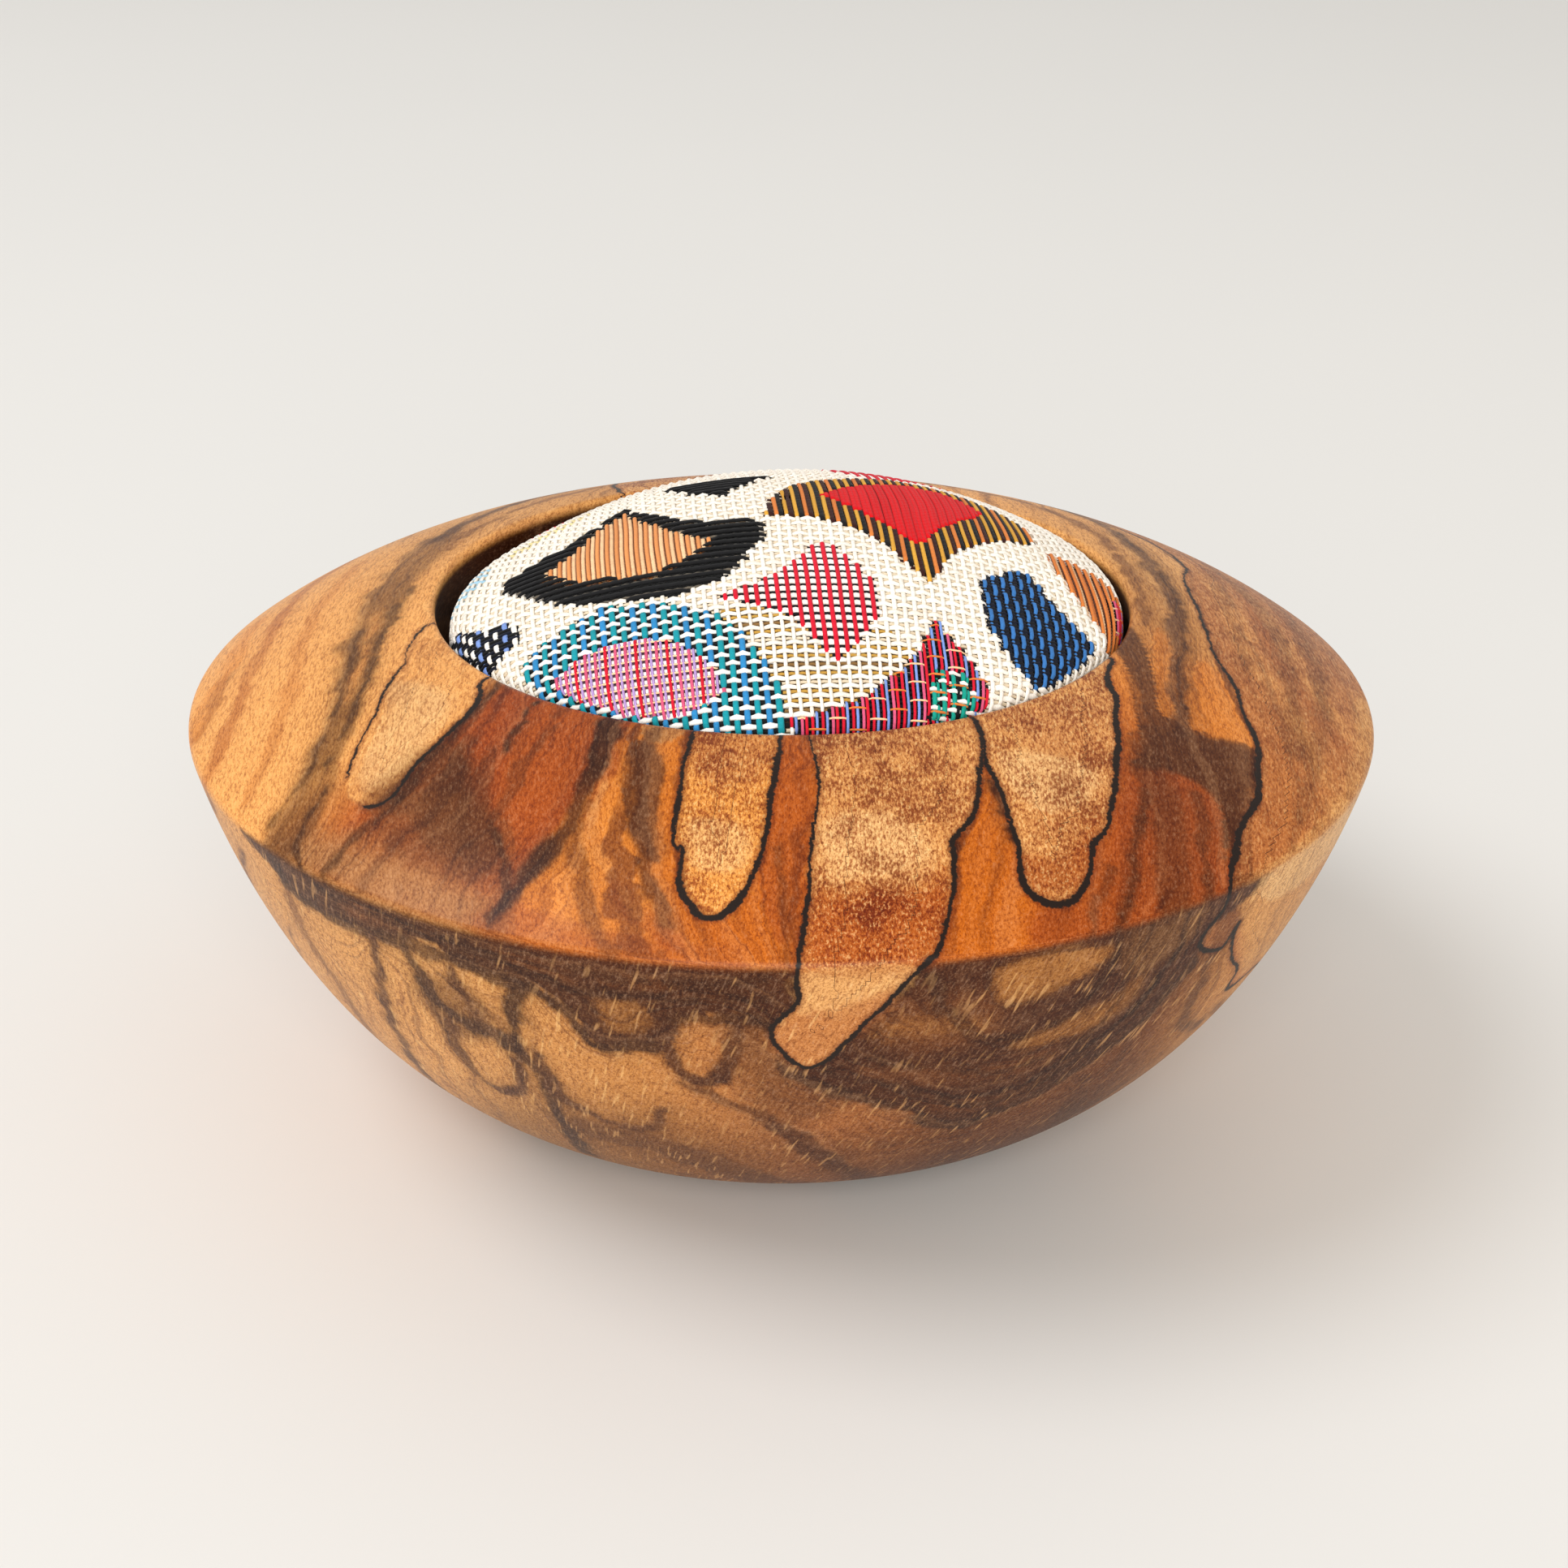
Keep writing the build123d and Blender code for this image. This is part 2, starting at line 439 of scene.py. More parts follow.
# Closed regions behind black zone lines.
TONGUE_LEFT = (
    (-75, -6), (-75, 0), (-68, 3.5), (-63, 5), (-59, 8), (-55, 10.5), (-52, 13.5), (-50, 15.5),
    (-48, 17.3), (-46, 18.6), (-43.6, 18.8), (-41.8, 17.8), (-41.5, 16), (-42.5, 13), (-43, 9),
    (-44, 5.5), (-46.5, 3), (-50, 0.5), (-51, -6),
)
TONGUE_ONE = (
    (-12.5, -6), (-12.5, 0), (-12, 5), (-11, 10), (-10.4, 15), (-9.3, 15.4), (-9, 18.5), (-8, 20.5),
    (-6, 22), (-4, 21), (-2.5, 18), (-1.5, 14), (-1, 9), (-0.3, 4), (0, 0), (0, -6),
)
TONGUE_TWO = (
    (4, -6), (4, 0), (4.5, 7), (4, 10), (3, 15), (2.5, 20), (1.5, 26), (1.5, 30), (0, 32), (-0.5, 34),
    (1, 37), (2.5, 38), (4, 37.5), (5, 36), (7, 33), (9, 30), (11, 27), (12, 26), (13, 25), (15, 21),
    (16.5, 17), (17, 15), (20, 13), (23, 9), (25, 6.5), (27, 4), (28.8, 0), (29.5, -6),
)
TONGUE_THREE = (
    (29.6, -6), (29.1, 0), (27.3, 4), (25.3, 6.7), (25, 9), (24, 13), (23, 17), (22, 20), (22.5, 22),
    (25, 23), (27, 22), (29, 20), (31, 18), (33, 17), (36, 14.5), (38.5, 12.5), (41, 10.5), (43.5, 9),
    (46, 7), (48, 6), (51, 4.5), (54, 2.5), (58, 1.2), (62, 0), (64, -6),
)
PALE_RIGHT = (
    (150, 13), (130, 12), (118, 11.5), (108, 10), (103, 8), (97, 7), (90, 6.8), (84, 7), (77, 8), (73, 9),
    (70, 10.5), (67, 12), (63.5, 13.5), (60, 16), (55, 18.5), (51, 20.5), (48, 21.3), (44.5, 23),
    (41, 26), (40.8, 28), (39, 31.5), (43, 33.8), (44.2, 31), (44.5, 33), (46, 36), (48, 38), (50, 40),
    (51, 43), (58, 43.5), (62, 46), (64, 49.5), (68, 52), (74, 52.5), (80, 53.5), (90, 52), (104, 50),
    (120, 44), (135, 36), (146, 24),
)
PALE_REAR = (
    (-150, -6), (-151, 4), (-156, 12), (-160, 17), (-166, 20.5), (-171, 18), (-174, 10), (-176, 3),
    (-177, -6),
)
# Where the growth bands are faint, on the left of the top.
EVEN_WOOD = (
    (-116, 13), (-100, 10.5), (-85, 10), (-72, 12), (-64, 15.5), (-58, 21), (-56, 26), (-62, 30),
    (-90, 30), (-114, 24),
)
# How far each zone line's half width differs from the common one: amount, reach, places.
ZONE_HALF_WIDTH = 0.23
ZONE_WEIGHTS = (
    (-0.12, 3.0, ((-75, 0), (-63, 5), (-52, 13.5), (-48, 17.3))),
    (-0.5, 1.6, ((-47.2, 18.0), (-44.8, 19.0))),
    (-0.07, 2.5, ((118, 11.5), (97, 7), (84, 7), (72, 9.4))),
    (0.1, 2.5, ((60, 16), (48, 21.3), (42, 25))),
    (0.1, 2.0, ((-8.6, 19.5), (-6, 22), (-3.6, 20.4))),
    (0.12, 2.0, ((22, 20), (22.6, 22.2), (25, 23), (27, 22))),
    (0.08, 2.0, ((41, 10.5), (46, 7), (54, 2.5))),
    (-0.06, 3.0, ((28.8, 0), (26.4, 5))),
    (-0.08, 3.0, ((4, 0), (4.5, 7), (3, 15))),
    (-0.06, 3.0, ((90, 52), (120, 44), (146, 24), (130, 12))),
)
# Areas painted in order: colour, softness of the edge, strength, outline.
# These lie under the growth lines.
AREAS_UNDER = (
    ("honey", 0.4, 0.9, TONGUE_LEFT),
    ("heart", 1.6, 0.85, ((-47, -3), (-44, 4), (-42.5, 10), (-41, 15), (-40, 18), (-34, 17), (-30, 15.5),
        (-27, 17), (-24.6, 20.5), (-22.8, 17), (-22.4, 9), (-24, -3))),
    ("rust", 1.5, 0.7, ((-37, -2), (-35.5, 4), (-33, 9), (-30, 14), (-28, 16), (-25, 19), (-24, 10),
        (-26, 4), (-27, -2))),
    # Painted sheen: this taupe band along the left front of the shoulder stands for a reflection of the light
    # there.
    ("taupe", 4.5, 0.75, ((-46, 23), (-40, 21.4), (-32, 21.6), (-24, 23), (-12, 24.6), (-12, 27),
        (-46, 27))),
    ("cocoa", 2.4, 0.75, ((-45, 12), (-40, 9), (-36, 11), (-33, 15), (-29, 18), (-28, 22), (-33, 20.6),
        (-38, 18), (-44, 19))),
    ("deep", 2.4, 0.8, ((-39, 10.5), (-35, 12), (-32, 16), (-29.6, 20), (-33, 20), (-38, 17))),
    ("layer", 1.6, 0.6, ((-46, 1), (-42, 6), (-40.4, 12), (-40, 17), (-42.6, 18), (-42, 10), (-44.6, 5))),
    ("honey", 1.4, 0.5, ((-20, 14), (-17.6, 12), (-15, 16), (-12, 20), (-9, 23), (-12, 23.4), (-17, 20))),
    ("cocoa", 3.0, 0.7, ((-42, 17), (-34, 14), (-27, 16), (-24.6, 20), (-27, 22), (-38, 21.6))),
    ("umber", 1.8, 0.6, ((-36, 8), (-33, 11), (-30, 15), (-26.6, 18), (-27, 21), (-31, 19), (-34.6, 14))),
    ("deep", 2.2, 0.6, ((44, 9.5), (50, 9), (55, 14), (57, 17), (51, 20.5), (44, 22), (42.6, 16))),
    ("taupe", 1.0, 0.7, ((-20, -2), (-19.5, 2), (-16, 3), (-13.6, 1), (-13.4, -2))),
    ("amber", 2.0, 0.8, ((-21.5, 12), (-18, 8), (-15, 12), (-12.4, 18), (-9, 23), (-4, 25), (-2, 26.5),
        (-20, 26.5), (-22.5, 20))),
    ("umber", 1.3, 0.75, ((-20, 4), (-18, 3), (-14, 6), (-12.8, 12), (-11.2, 17), (-13.5, 16),
        (-17, 11))),
    ("rust", 0.8, 0.8, ((-0.6, -2), (-1, 10), (-2, 17), (0, 24), (2, 20), (3.6, 10), (3.6, -2))),
    ("orange", 1.0, 0.9, ((23.4, 9), (20, 13.5), (17.5, 17), (15, 22), (12.6, 26.3), (22.5, 26.3),
        (21.3, 20), (23.4, 13), (24.4, 9))),
    ("heart", 2.0, 0.55, ((-24, 23), (-14, 24), (-4, 24.6), (-4, 27), (-24, 27))),
    ("heart", 1.8, 0.75, ((22, 23), (26, 23), (31, 19), (36, 15), (43, 13), (47, 16), (46, 20), (42, 24),
        (40, 26.4), (22, 26.4))),
    ("umber", 1.3, 0.85, ((44.5, 11), (49, 7.8), (54, 5), (60, 2.5), (68, -1), (78, -1), (70, 2),
        (62, 4.5), (56, 8), (53.5, 10.5), (56, 13.5), (58, 16.5), (53, 19.5), (49, 21), (44, 25),
        (43.5, 23), (46.5, 19), (46.5, 15.5), (43, 13), (41.5, 11.8))),
    ("amber", 1.0, 0.85, ((55, 12.5), (58, 10), (64, 8), (71, 7.6), (69, 10), (63.5, 12.6), (58.5, 15.5),
        (56, 14))),
    ("amber", 1.0, 0.7, ((53, 8.6), (57, 6.4), (63, 4.6), (70, 3), (78, 2.4), (72, 4.6), (63, 6.8),
        (56, 10))),
    ("pink", 0.4, 0.75, PALE_RIGHT),
    ("honey", 1.6, 0.5, ((118, 12.4), (98, 9.6), (84, 9.4), (76, 11.6), (70, 15), (64, 20), (61, 23.6),
        (63, 24), (68, 19.6), (74, 15.4), (82, 12.4), (98, 12.4))),
    ("honey", 1.4, 0.45, ((110, 16), (94, 14.8), (84, 15.6), (77, 18.6), (72, 23), (75, 23), (82, 18.8),
        (94, 17.2))),
    ("heart", 1.6, 0.3, ((104, 14), (90, 13.2), (82, 13.8), (74, 17.4), (69, 22), (71, 23), (77, 17.4),
        (86, 14.8))),
    ("deep", 14.0, 0.55, ((-30, 50), (-12, 47), (6, 50), (24, 52), (46, 50), (60, 60), (60, 84),
        (-50, 84), (-44, 64))),
    ("umber", 4.0, 0.6, ((-3, 30), (6, 33), (7, 42), (2, 47), (-3, 42))),
    ("umber", 3.0, 0.55, ((-33, 33), (-27, 33), (-26, 38), (-30, 41), (-34, 38))),
    ("cocoa", 2.0, 0.75, ((40.8, 26), (44.4, 26), (46, 30), (44, 33.6), (41, 33))),
    ("sand", 2.2, 0.85, ((43, 26.5), (52, 25.5), (66, 24.5), (84, 24), (90, 33), (80, 48), (72, 50),
        (64, 46), (58, 42.5), (52, 41.5), (47.5, 36), (44.6, 31))),
)
# These lie over the growth lines.
AREAS_OVER = (
    ("tongue", 0.4, 1.0, TONGUE_ONE),
    ("speckled", 0.4, 1.0, TONGUE_TWO),
    ("speckled", 0.4, 1.0, TONGUE_THREE),
    ("speckled", 0.4, 1.0, PALE_REAR),
    ("pale", 2.5, 0.6, ((4.6, 12), (10, 11), (14.5, 14), (13.5, 19), (6, 20), (4.2, 17))),
    ("rust", 3.0, 0.9, ((3, 19.5), (7, 18.5), (12, 19), (15.6, 18), (12.3, 26.2), (2, 26.2))),
    ("pink", 3.0, 0.3, ((4.6, -2), (4.8, 3.6), (10, 5), (18, 4.2), (26, 2.8), (28.6, -2))),
    ("pink", 3.5, 0.4, ((31, 9), (36, 3), (46, 2.4), (48, 5.4), (41, 9.6), (33, 16), (27, 20), (26, 14))),
    ("pink", 2.5, 0.6, ((-11.4, -2), (-11, 5), (-7, 8), (-2, 6), (-1, -2))),
    ("pale", 0.8, 0.35, ((2, 26.5), (11, 26.5), (8.5, 31), (5, 32), (1.6, 31))),
    ("pink", 1.6, 0.75, ((1, 31.6), (5, 30.6), (9, 29), (9, 31), (5.6, 35), (2.6, 38), (0.6, 37),
        (-0.6, 34))),
    ("pale", 1.5, 0.55, ((-9.2, 12), (-3.4, 13), (-3.4, 17), (-8.4, 17))),
    ("pale", 2.2, 0.6, ((-60, 7), (-55, 9.4), (-51, 12.6), (-46.6, 17), (-43.6, 16.4), (-44, 10),
        (-47, 6), (-53, 4.4))),
    ("heart", 2.0, 0.7, ((22.4, 17.6), (27, 18.6), (33, 15.4), (31, 19), (28, 21.6), (23, 21.8))),
    ("pale", 1.6, 0.6, ((28, 6), (34, 8), (37, 11), (33, 14), (28, 14), (26, 10))),
)
# The dark layer just under the shoulder, with its deep scallop at the front.
UNDER_LAYER = (
    (-49, 25.8), (-48.5, 29), (-46, 30.4), (-40, 30.3), (-33, 29.3), (-30, 28.5), (-28, 30), (-24, 30.6),
    (-20, 31), (-17.4, 33), (-16.5, 36), (-15, 37), (-13, 36), (-9.5, 35.3), (-8.6, 33), (-6, 31.6),
    (-2, 31.4), (0.5, 34), (1, 37.5), (2.5, 40), (5, 42), (8, 43.6), (12, 45), (15, 48), (19, 50),
    (22, 49.3), (23.5, 47.5), (27, 46.8), (31, 44), (34, 41), (37, 37.5), (39.3, 34), (40.2, 30),
    (40.8, 25.8),
)
LAYER_PATCHES = (
    ("cocoa", 1.4, 0.8, ((-40, 27.4), (-34, 27.2), (-33, 28.4), (-39, 29))),
    ("cocoa", 1.2, 0.6, ((-24, 27.4), (-14, 27.6), (-7, 28.4), (-12, 29.6), (-20, 29))),
    ("tan", 1.8, 0.45, ((-15, 31.5), (-11.5, 31), (-10.5, 33.5), (-12.5, 35), (-14.6, 34.2))),
    ("tan", 2.0, 0.65, ((17.4, 28.4), (20, 27.2), (25, 27.4), (28.4, 28), (26.4, 30.4), (22, 32),
        (18.6, 31.8))),
    ("cocoa", 3.0, 0.8, ((9, 30), (17, 30.6), (19.5, 35), (13, 37), (8.6, 34))),
    ("tan", 2.6, 0.35, ((9, 32.4), (16, 33), (17, 34.6), (9, 34.4))),
    ("tan", 2.4, 0.5, ((22, 37), (30, 34.8), (33, 33), (32, 37), (27, 38.6), (22, 38.6))),
    ("cocoa", 2.4, 0.7, ((8, 38.4), (18, 39.9), (27, 40), (24, 42.5), (16, 42.4), (9, 40.7))),
    ("cocoa", 1.6, 0.6, ((14, 45), (22, 45.6), (27, 44.4), (24, 47), (18, 47.6))),
    ("taupe", 3.0, 0.3, ((30, 27), (38, 27), (37, 31), (31, 32))),
    ("pale", 1.4, 0.75, ((45.4, 26.6), (54, 26.4), (66, 26.4), (80, 27), (76, 31.4), (62, 32), (52, 31.4),
        (47.6, 30))),
)
# Dark growth lines: colour, half width, strength, places.
STREAKS = (
    ("umber", 1.9, 0.6, ((-115, 6), (-100, 4.4), (-90, 5.2), (-80, 6.2), (-70, 7.8), (-64, 9.6),
        (-58, 12.8), (-54, 16.4), (-51, 19.4), (-49, 22.4), (-48, 26))),
    ("bark", 0.35, 0.7, ((-92, 2.6), (-84, 3.6), (-78, 4.6), (-70, 6.4), (-62, 9.2), (-56, 13.5),
        (-52.5, 17))),
    ("bark", 0.4, 0.6, ((-80, 7), (-70, 9), (-63, 11.5), (-57, 15.4), (-53, 19.6), (-51, 25))),
    ("tan", 0.3, 0.8, ((-84, 5.4), (-74, 6.8), (-67, 8.6), (-61, 11.4))),
    ("bark", 0.3, 0.8, ((-50, 19), (-48.6, 21.4), (-47, 24), (-44.5, 26))),
    ("heart", 0.9, 0.5, ((-118, 19), (-100, 18), (-90, 17.5), (-82, 18.5), (-75, 20.2), (-70, 22.2),
        (-66, 25), (-64, 28))),
    ("cocoa", 0.5, 0.5, ((-84, 21.5), (-78, 23), (-73, 25.5))),
    ("rust", 0.8, 0.3, ((-110, 13), (-95, 12.4), (-80, 13), (-70, 15), (-62, 19), (-57, 24))),
    ("amber", 1.2, 0.5, ((-100, 22), (-88, 21.5), (-80, 23), (-74, 26))),
    ("bark", 0.5, 0.7, ((-47, 0), (-44.6, 3), (-42.6, 7), (-41.6, 12), (-40.8, 18), (-41.2, 23),
        (-42, 26))),
    ("bark", 0.3, 0.9, ((-38.5, 0), (-37.4, 2), (-36, 4), (-35, 6), (-34, 7.6))),
    ("bark", 0.9, 0.95, ((-25.5, 0), (-23.6, 3), (-22.8, 6), (-22, 10), (-21.3, 13), (-21.5, 16),
        (-22.6, 20), (-24, 24.5))),
    ("bark", 0.5, 0.7, ((-28.5, 16), (-26.6, 18), (-24.6, 21), (-23.6, 24))),
    ("layer", 0.7, 0.7, ((-18.6, 1), (-17, 6), (-15.4, 10), (-13.4, 15), (-12, 19), (-9, 23))),
    ("heart", 0.6, 0.6, ((-20.6, 6), (-19.4, 12), (-16.8, 17.4), (-13, 21.6), (-8, 24.4))),
    ("umber", 0.7, 0.5, ((-20.4, 12), (-19, 18), (-16, 22.5), (-12.6, 26))),
    ("honey", 0.4, 0.35, ((-19.8, 9), (-18.6, 14), (-16, 18.5), (-12, 22))),
    ("umber", 0.5, 0.4, ((-33, 0), (-31.4, 6), (-29.6, 12), (-29, 16))),
    ("umber", 0.45, 0.5, ((-40, 8), (-38.6, 12), (-38, 16))),
    ("umber", 0.5, 0.5, ((-0.2, 15), (0.4, 20), (0.6, 26))),
    ("umber", 1.5, 0.6, ((42.4, 13), (40.6, 17), (37.6, 21.4), (34, 26.2))),
    ("umber", 0.55, 0.75, ((39.6, 14.6), (36.8, 17.5), (33, 21), (29, 26.2))),
    ("umber", 0.5, 0.6, ((30.6, 20.5), (27.6, 23.6), (26, 26.2))),
    ("umber", 0.5, 0.6, ((45, 17), (42, 21), (38.4, 26))),
    ("umber", 0.8, 0.85, ((52, 10.8), (57, 8.8), (62, 7), (68, 5.7), (76, 4.8), (85, 4.4), (100, 4.6),
        (118, 7), (135, 11.5), (152, 14.5), (170, 15.4), (190, 14.4), (210, 11.4), (230, 8), (245, 6))),
    ("cocoa", 0.6, 0.7, ((78, 1.4), (90, 1), (110, 2.6), (130, 6), (150, 8.6), (180, 9.6), (205, 8),
        (230, 4.4), (250, 2.6))),
    ("bark", 0.22, 0.9, ((45.2, 20.4), (44, 21.8), (42.6, 23.4))),
    ("bark", 0.3, 0.9, ((24.4, 9.5), (24, 11.4), (23.4, 13.2))),
    ("bark", 0.25, 0.9, ((23, 14.4), (22.6, 16.4))),
    ("bark", 0.35, 0.7, ((15.8, 14), (17.2, 14.6), (16.4, 16.4))),
    ("bark", 0.3, 0.6, ((14.6, 17), (13.6, 21), (12.4, 25))),
    ("cocoa", 0.9, 0.45, ((62, 19.6), (72, 17), (84, 15.4), (98, 15.6), (115, 17))),
    ("cocoa", 0.8, 0.4, ((54, 24), (66, 21), (80, 19.6), (96, 20), (112, 22))),
    ("cocoa", 0.6, 0.35, ((74, 12), (84, 10.6), (96, 10.8), (108, 13))),
    # the lower wall
    ("bark", 0.63, 0.9, ((-49, 27), (-47.6, 30.2), (-40, 30.5), (-33, 29.6), (-29, 29.6), (-24, 31),
        (-20, 31.5), (-17.6, 33.4), (-16.6, 36), (-15, 37), (-12.6, 36.2), (-9.4, 35.5), (-8.4, 33),
        (-5, 31.8), (-1.4, 32), (0.4, 34.6), (1, 38), (3, 40.6), (8, 43.8), (12, 45.2), (15, 48.2),
        (19, 50.2), (22.4, 49), (27, 47), (31, 44.4), (34, 41.2), (37, 37.8), (39.4, 34))),
    ("bark", 0.42, 0.7, ((4, 39), (8, 41), (13, 43), (18, 46), (22, 46.4), (27, 44.4), (31, 40.6),
        (34, 36.4), (36.4, 31))),
    ("bark", 0.42, 0.6, ((8, 37), (13, 39.6), (19, 41.6), (25, 41.4), (29.6, 38.6), (32, 34))),
    ("bark", 0.42, 0.6, ((12, 27), (13.6, 31), (17.6, 35.6), (22, 36.6), (26.6, 34.6), (28.6, 30),
        (29, 27))),
    ("bark", 0.42, 0.7, ((-44, 28), (-36, 27.6), (-28, 28), (-18, 30), (-11, 30.4), (-4, 29.6),
        (0, 29.6))),
    ("bark", 0.42, 0.6, ((-22, 27), (-14, 28.2), (-7, 28), (-1, 27.6))),
    ("umber", 0.63, 0.9, ((-37, 30.4), (-38, 35), (-40, 41), (-41.4, 46), (-44, 53), (-47, 60))),
    ("bark", 0.7, 0.95, ((-33.4, 30.6), (-32.4, 34), (-31.4, 37), (-28.6, 38.6), (-26, 38.4), (-25, 40))),
    ("bark", 0.7, 0.95, ((-22, 31.4), (-23.6, 35), (-24, 40), (-22.6, 44.4), (-23, 50), (-23.6, 56),
        (-24, 62))),
    ("umber", 0.63, 0.9, ((-31.6, 38.6), (-32, 44), (-31, 48), (-28.6, 48.6), (-26, 46), (-25, 42))),
    ("umber", 0.49, 0.8, ((-29, 31), (-28.6, 34), (-27.6, 37))),
    ("umber", 0.56, 0.8, ((-22, 40), (-21.4, 46), (-18, 49.4), (-13.4, 50), (-10.6, 46))),
    ("umber", 0.63, 0.85, ((-9, 34), (-9, 38), (-7, 40.6), (-5, 39.4), (-4, 36), (-3, 33))),
    ("umber", 0.56, 0.6, ((-9, 41), (-4, 44), (0, 47.4), (3, 52), (8, 58), (12, 66))),
    ("umber", 1.2, 0.8, ((1, 48), (4.4, 54), (9, 60), (12.6, 68), (14, 78))),
    ("umber", 2.2, 0.6, ((-20, 52), (-14, 53), (-9, 56), (-4, 60), (2, 66))),
    ("umber", 1, 0.7, ((33, 50), (36, 57), (40, 62), (46, 69))),
    ("umber", 0.7, 0.7, ((42, 34), (42.6, 40), (45, 45), (50, 47.6))),
    ("umber", 0.7, 0.7, ((62, 52), (64, 57), (68, 62), (74, 66))),
    ("umber", 0.56, 0.6, ((31, 47), (34.6, 48.4), (36, 46), (34.6, 41))),
    ("cocoa", 0.84, 0.6, ((52, 46), (58, 51), (62, 58), (66, 66))),
    ("cocoa", 0.84, 0.6, ((-49, 31), (-50, 37), (-49, 43), (-52, 52), (-56, 60))),
    ("cocoa", 0.9, 0.7, ((-64, 28), (-72, 31.4), (-84, 34), (-100, 34), (-118, 31))),
    ("cocoa", 0.7, 0.6, ((-58, 30), (-66, 38), (-80, 45), (-100, 47), (-120, 43))),
    ("cocoa", 0.8, 0.6, ((-60, 44), (-72, 54), (-92, 60), (-120, 58))),
    ("umber", 0.9, 0.8, ((-118, 31), (-135, 27), (-150, 27), (-165, 30), (180, 36), (165, 40), (150, 38),
        (138, 32), (128, 27))),
    ("umber", 0.7, 0.7, ((-120, 43), (-140, 38), (-158, 40), (-172, 47), (174, 52), (156, 52), (140, 46),
        (122, 36), (112, 30))),
    ("umber", 0.8, 0.6, ((-120, 58), (-142, 54), (-160, 56), (180, 64), (156, 64), (134, 58), (110, 56))),
    ("cocoa", 0.8, 0.6, ((84, 30), (96, 34), (108, 36), (120, 34))),
    ("cocoa", 0.8, 0.5, ((78, 38), (92, 43), (106, 44), (118, 40))),
)
# Lines that the fine growth lines run beside: a number that rises across them, then the places.
GUIDES_ABOVE = (
    (-15, ((-118, 19), (-90, 17.5), (-75, 20.2), (-66, 25))),
    (-9, ((-112, 11), (-90, 11), (-72, 14), (-60, 21), (-57, 26))),
    (0, ((-115, 6), (-90, 5), (-70, 7.8), (-58, 12.8), (-51, 19.4), (-48, 26))),
    (5, ((-75, 0), (-63, 5), (-55, 10.5), (-48, 17.3), (-45, 26))),
    (10, ((-50, 0.5), (-43, 9), (-41.5, 17), (-42, 26))),
    (14, ((-38.5, 0), (-34, 7.5), (-32, 16), (-33, 26))),
    (20, ((-25, 0), (-22, 10), (-21.5, 16), (-24, 25))),
    (24, ((-18.6, 1), (-15.4, 10), (-11, 20), (-7, 26))),
    (29, ((-6, 0), (-6, 10), (-5, 20), (-2, 26))),
    (33, ((2, 0), (2, 12), (1, 20), (2, 26))),
    (38, ((14, 0), (12, 12), (8, 26))),
    (43, ((28, 0), (23, 9), (17, 17), (13, 26))),
    (48, ((42, 0), (34, 10), (26, 20), (22, 26))),
    (53, ((60, 0), (48, 8), (40, 15), (31, 26))),
    (56, ((78, 1), (62, 4), (50, 11), (42, 20), (37, 26))),
    (60, ((118, 7), (90, 4.4), (68, 5.7), (55, 10), (46, 21), (41, 26))),
    (64, ((120, 12), (90, 7), (70, 10.5), (60, 16), (48, 22), (44, 26))),
    (71, ((116, 17), (90, 14), (72, 17), (58, 24), (55, 26))),
    (78, ((112, 23), (90, 21), (76, 23), (70, 26))),
)
GUIDES_BELOW = (
    (-30, ((-118, 30), (-90, 34), (-70, 31), (-64, 27))),
    (-24, ((-120, 44), (-90, 46), (-68, 40), (-57, 30))),
    (-18, ((-110, 62), (-80, 58), (-62, 48), (-50, 33))),
    (-12, ((-47, 66), (-44, 53), (-41, 42), (-38, 32))),
    (-7, ((-33, 31), (-31.5, 40), (-31, 50), (-33, 64))),
    (0, ((-22, 32), (-24, 40), (-23, 50), (-24, 62))),
    (4, ((-13, 38), (-8, 44), (0, 50), (6, 58), (12, 70))),
    (9, ((-48, 28), (-33, 29), (-20, 31), (-14, 36), (-4, 32), (2, 39), (12, 45), (20, 50), (30, 45),
        (37, 38), (40, 30))),
    (13, ((-40, 26.6), (-20, 28), (-4, 28.4), (6, 36), (16, 43), (24, 43), (32, 37), (35, 29))),
    (18, ((12, 27), (15, 33), (20, 37), (26, 35), (29, 28))),
    (2, ((42, 33), (43, 41), (38, 50), (30, 54), (20, 56))),
    (-5, ((46, 34), (52, 44), (54, 54), (44, 66))),
    (-12, ((56, 28), (64, 44), (72, 56), (76, 66))),
    (-18, ((80, 28), (92, 42), (104, 56))),
    (-24, ((112, 28), (128, 36), (150, 48), (176, 54))),
)


def blended_ground(azimuth, stops):
    """Ground colour by azimuth, blended between its stops."""
    places = [a for a, _ in stops]
    colours = np.array([srgb(WOOD[name]) for _, name in stops])
    return np.column_stack([np.interp(azimuth, places, colours[:, k]) for k in range(3)])


def wrapped(azimuth, knots):
    """Azimuths turned by whole turns to lie near an outline's own."""
    middle = (knots[:, 0].min() + knots[:, 0].max()) / 2
    return (azimuth - middle + 180) % 360 - 180 + middle


def unrolled(places):
    """Places with azimuths that run on past 180 instead of jumping to -180."""
    p = np.array(places, float)
    p[:, 0] = np.degrees(np.unwrap(np.radians(p[:, 0])))
    return p


def signed_distance(points, azimuth, s, outline, reach=3.0):
    """Distance to a closed outline on the bowl, negative inside, within reach either way."""
    line = spline(unrolled(outline), 4, closed=True)
    ring = np.vstack([line, line[:1]])
    gap = distance_to_line(points, bowl_place(ring[:, 0], ring[:, 1]), reach)
    return np.where(inside(wrapped(azimuth, line), s, line), -gap, gap)


def line_distance(points, places, reach):
    """Distance to an open line on the bowl."""
    line = spline(unrolled(places), 4)
    return distance_to_line(points, bowl_place(line[:, 0], line[:, 1]), reach)


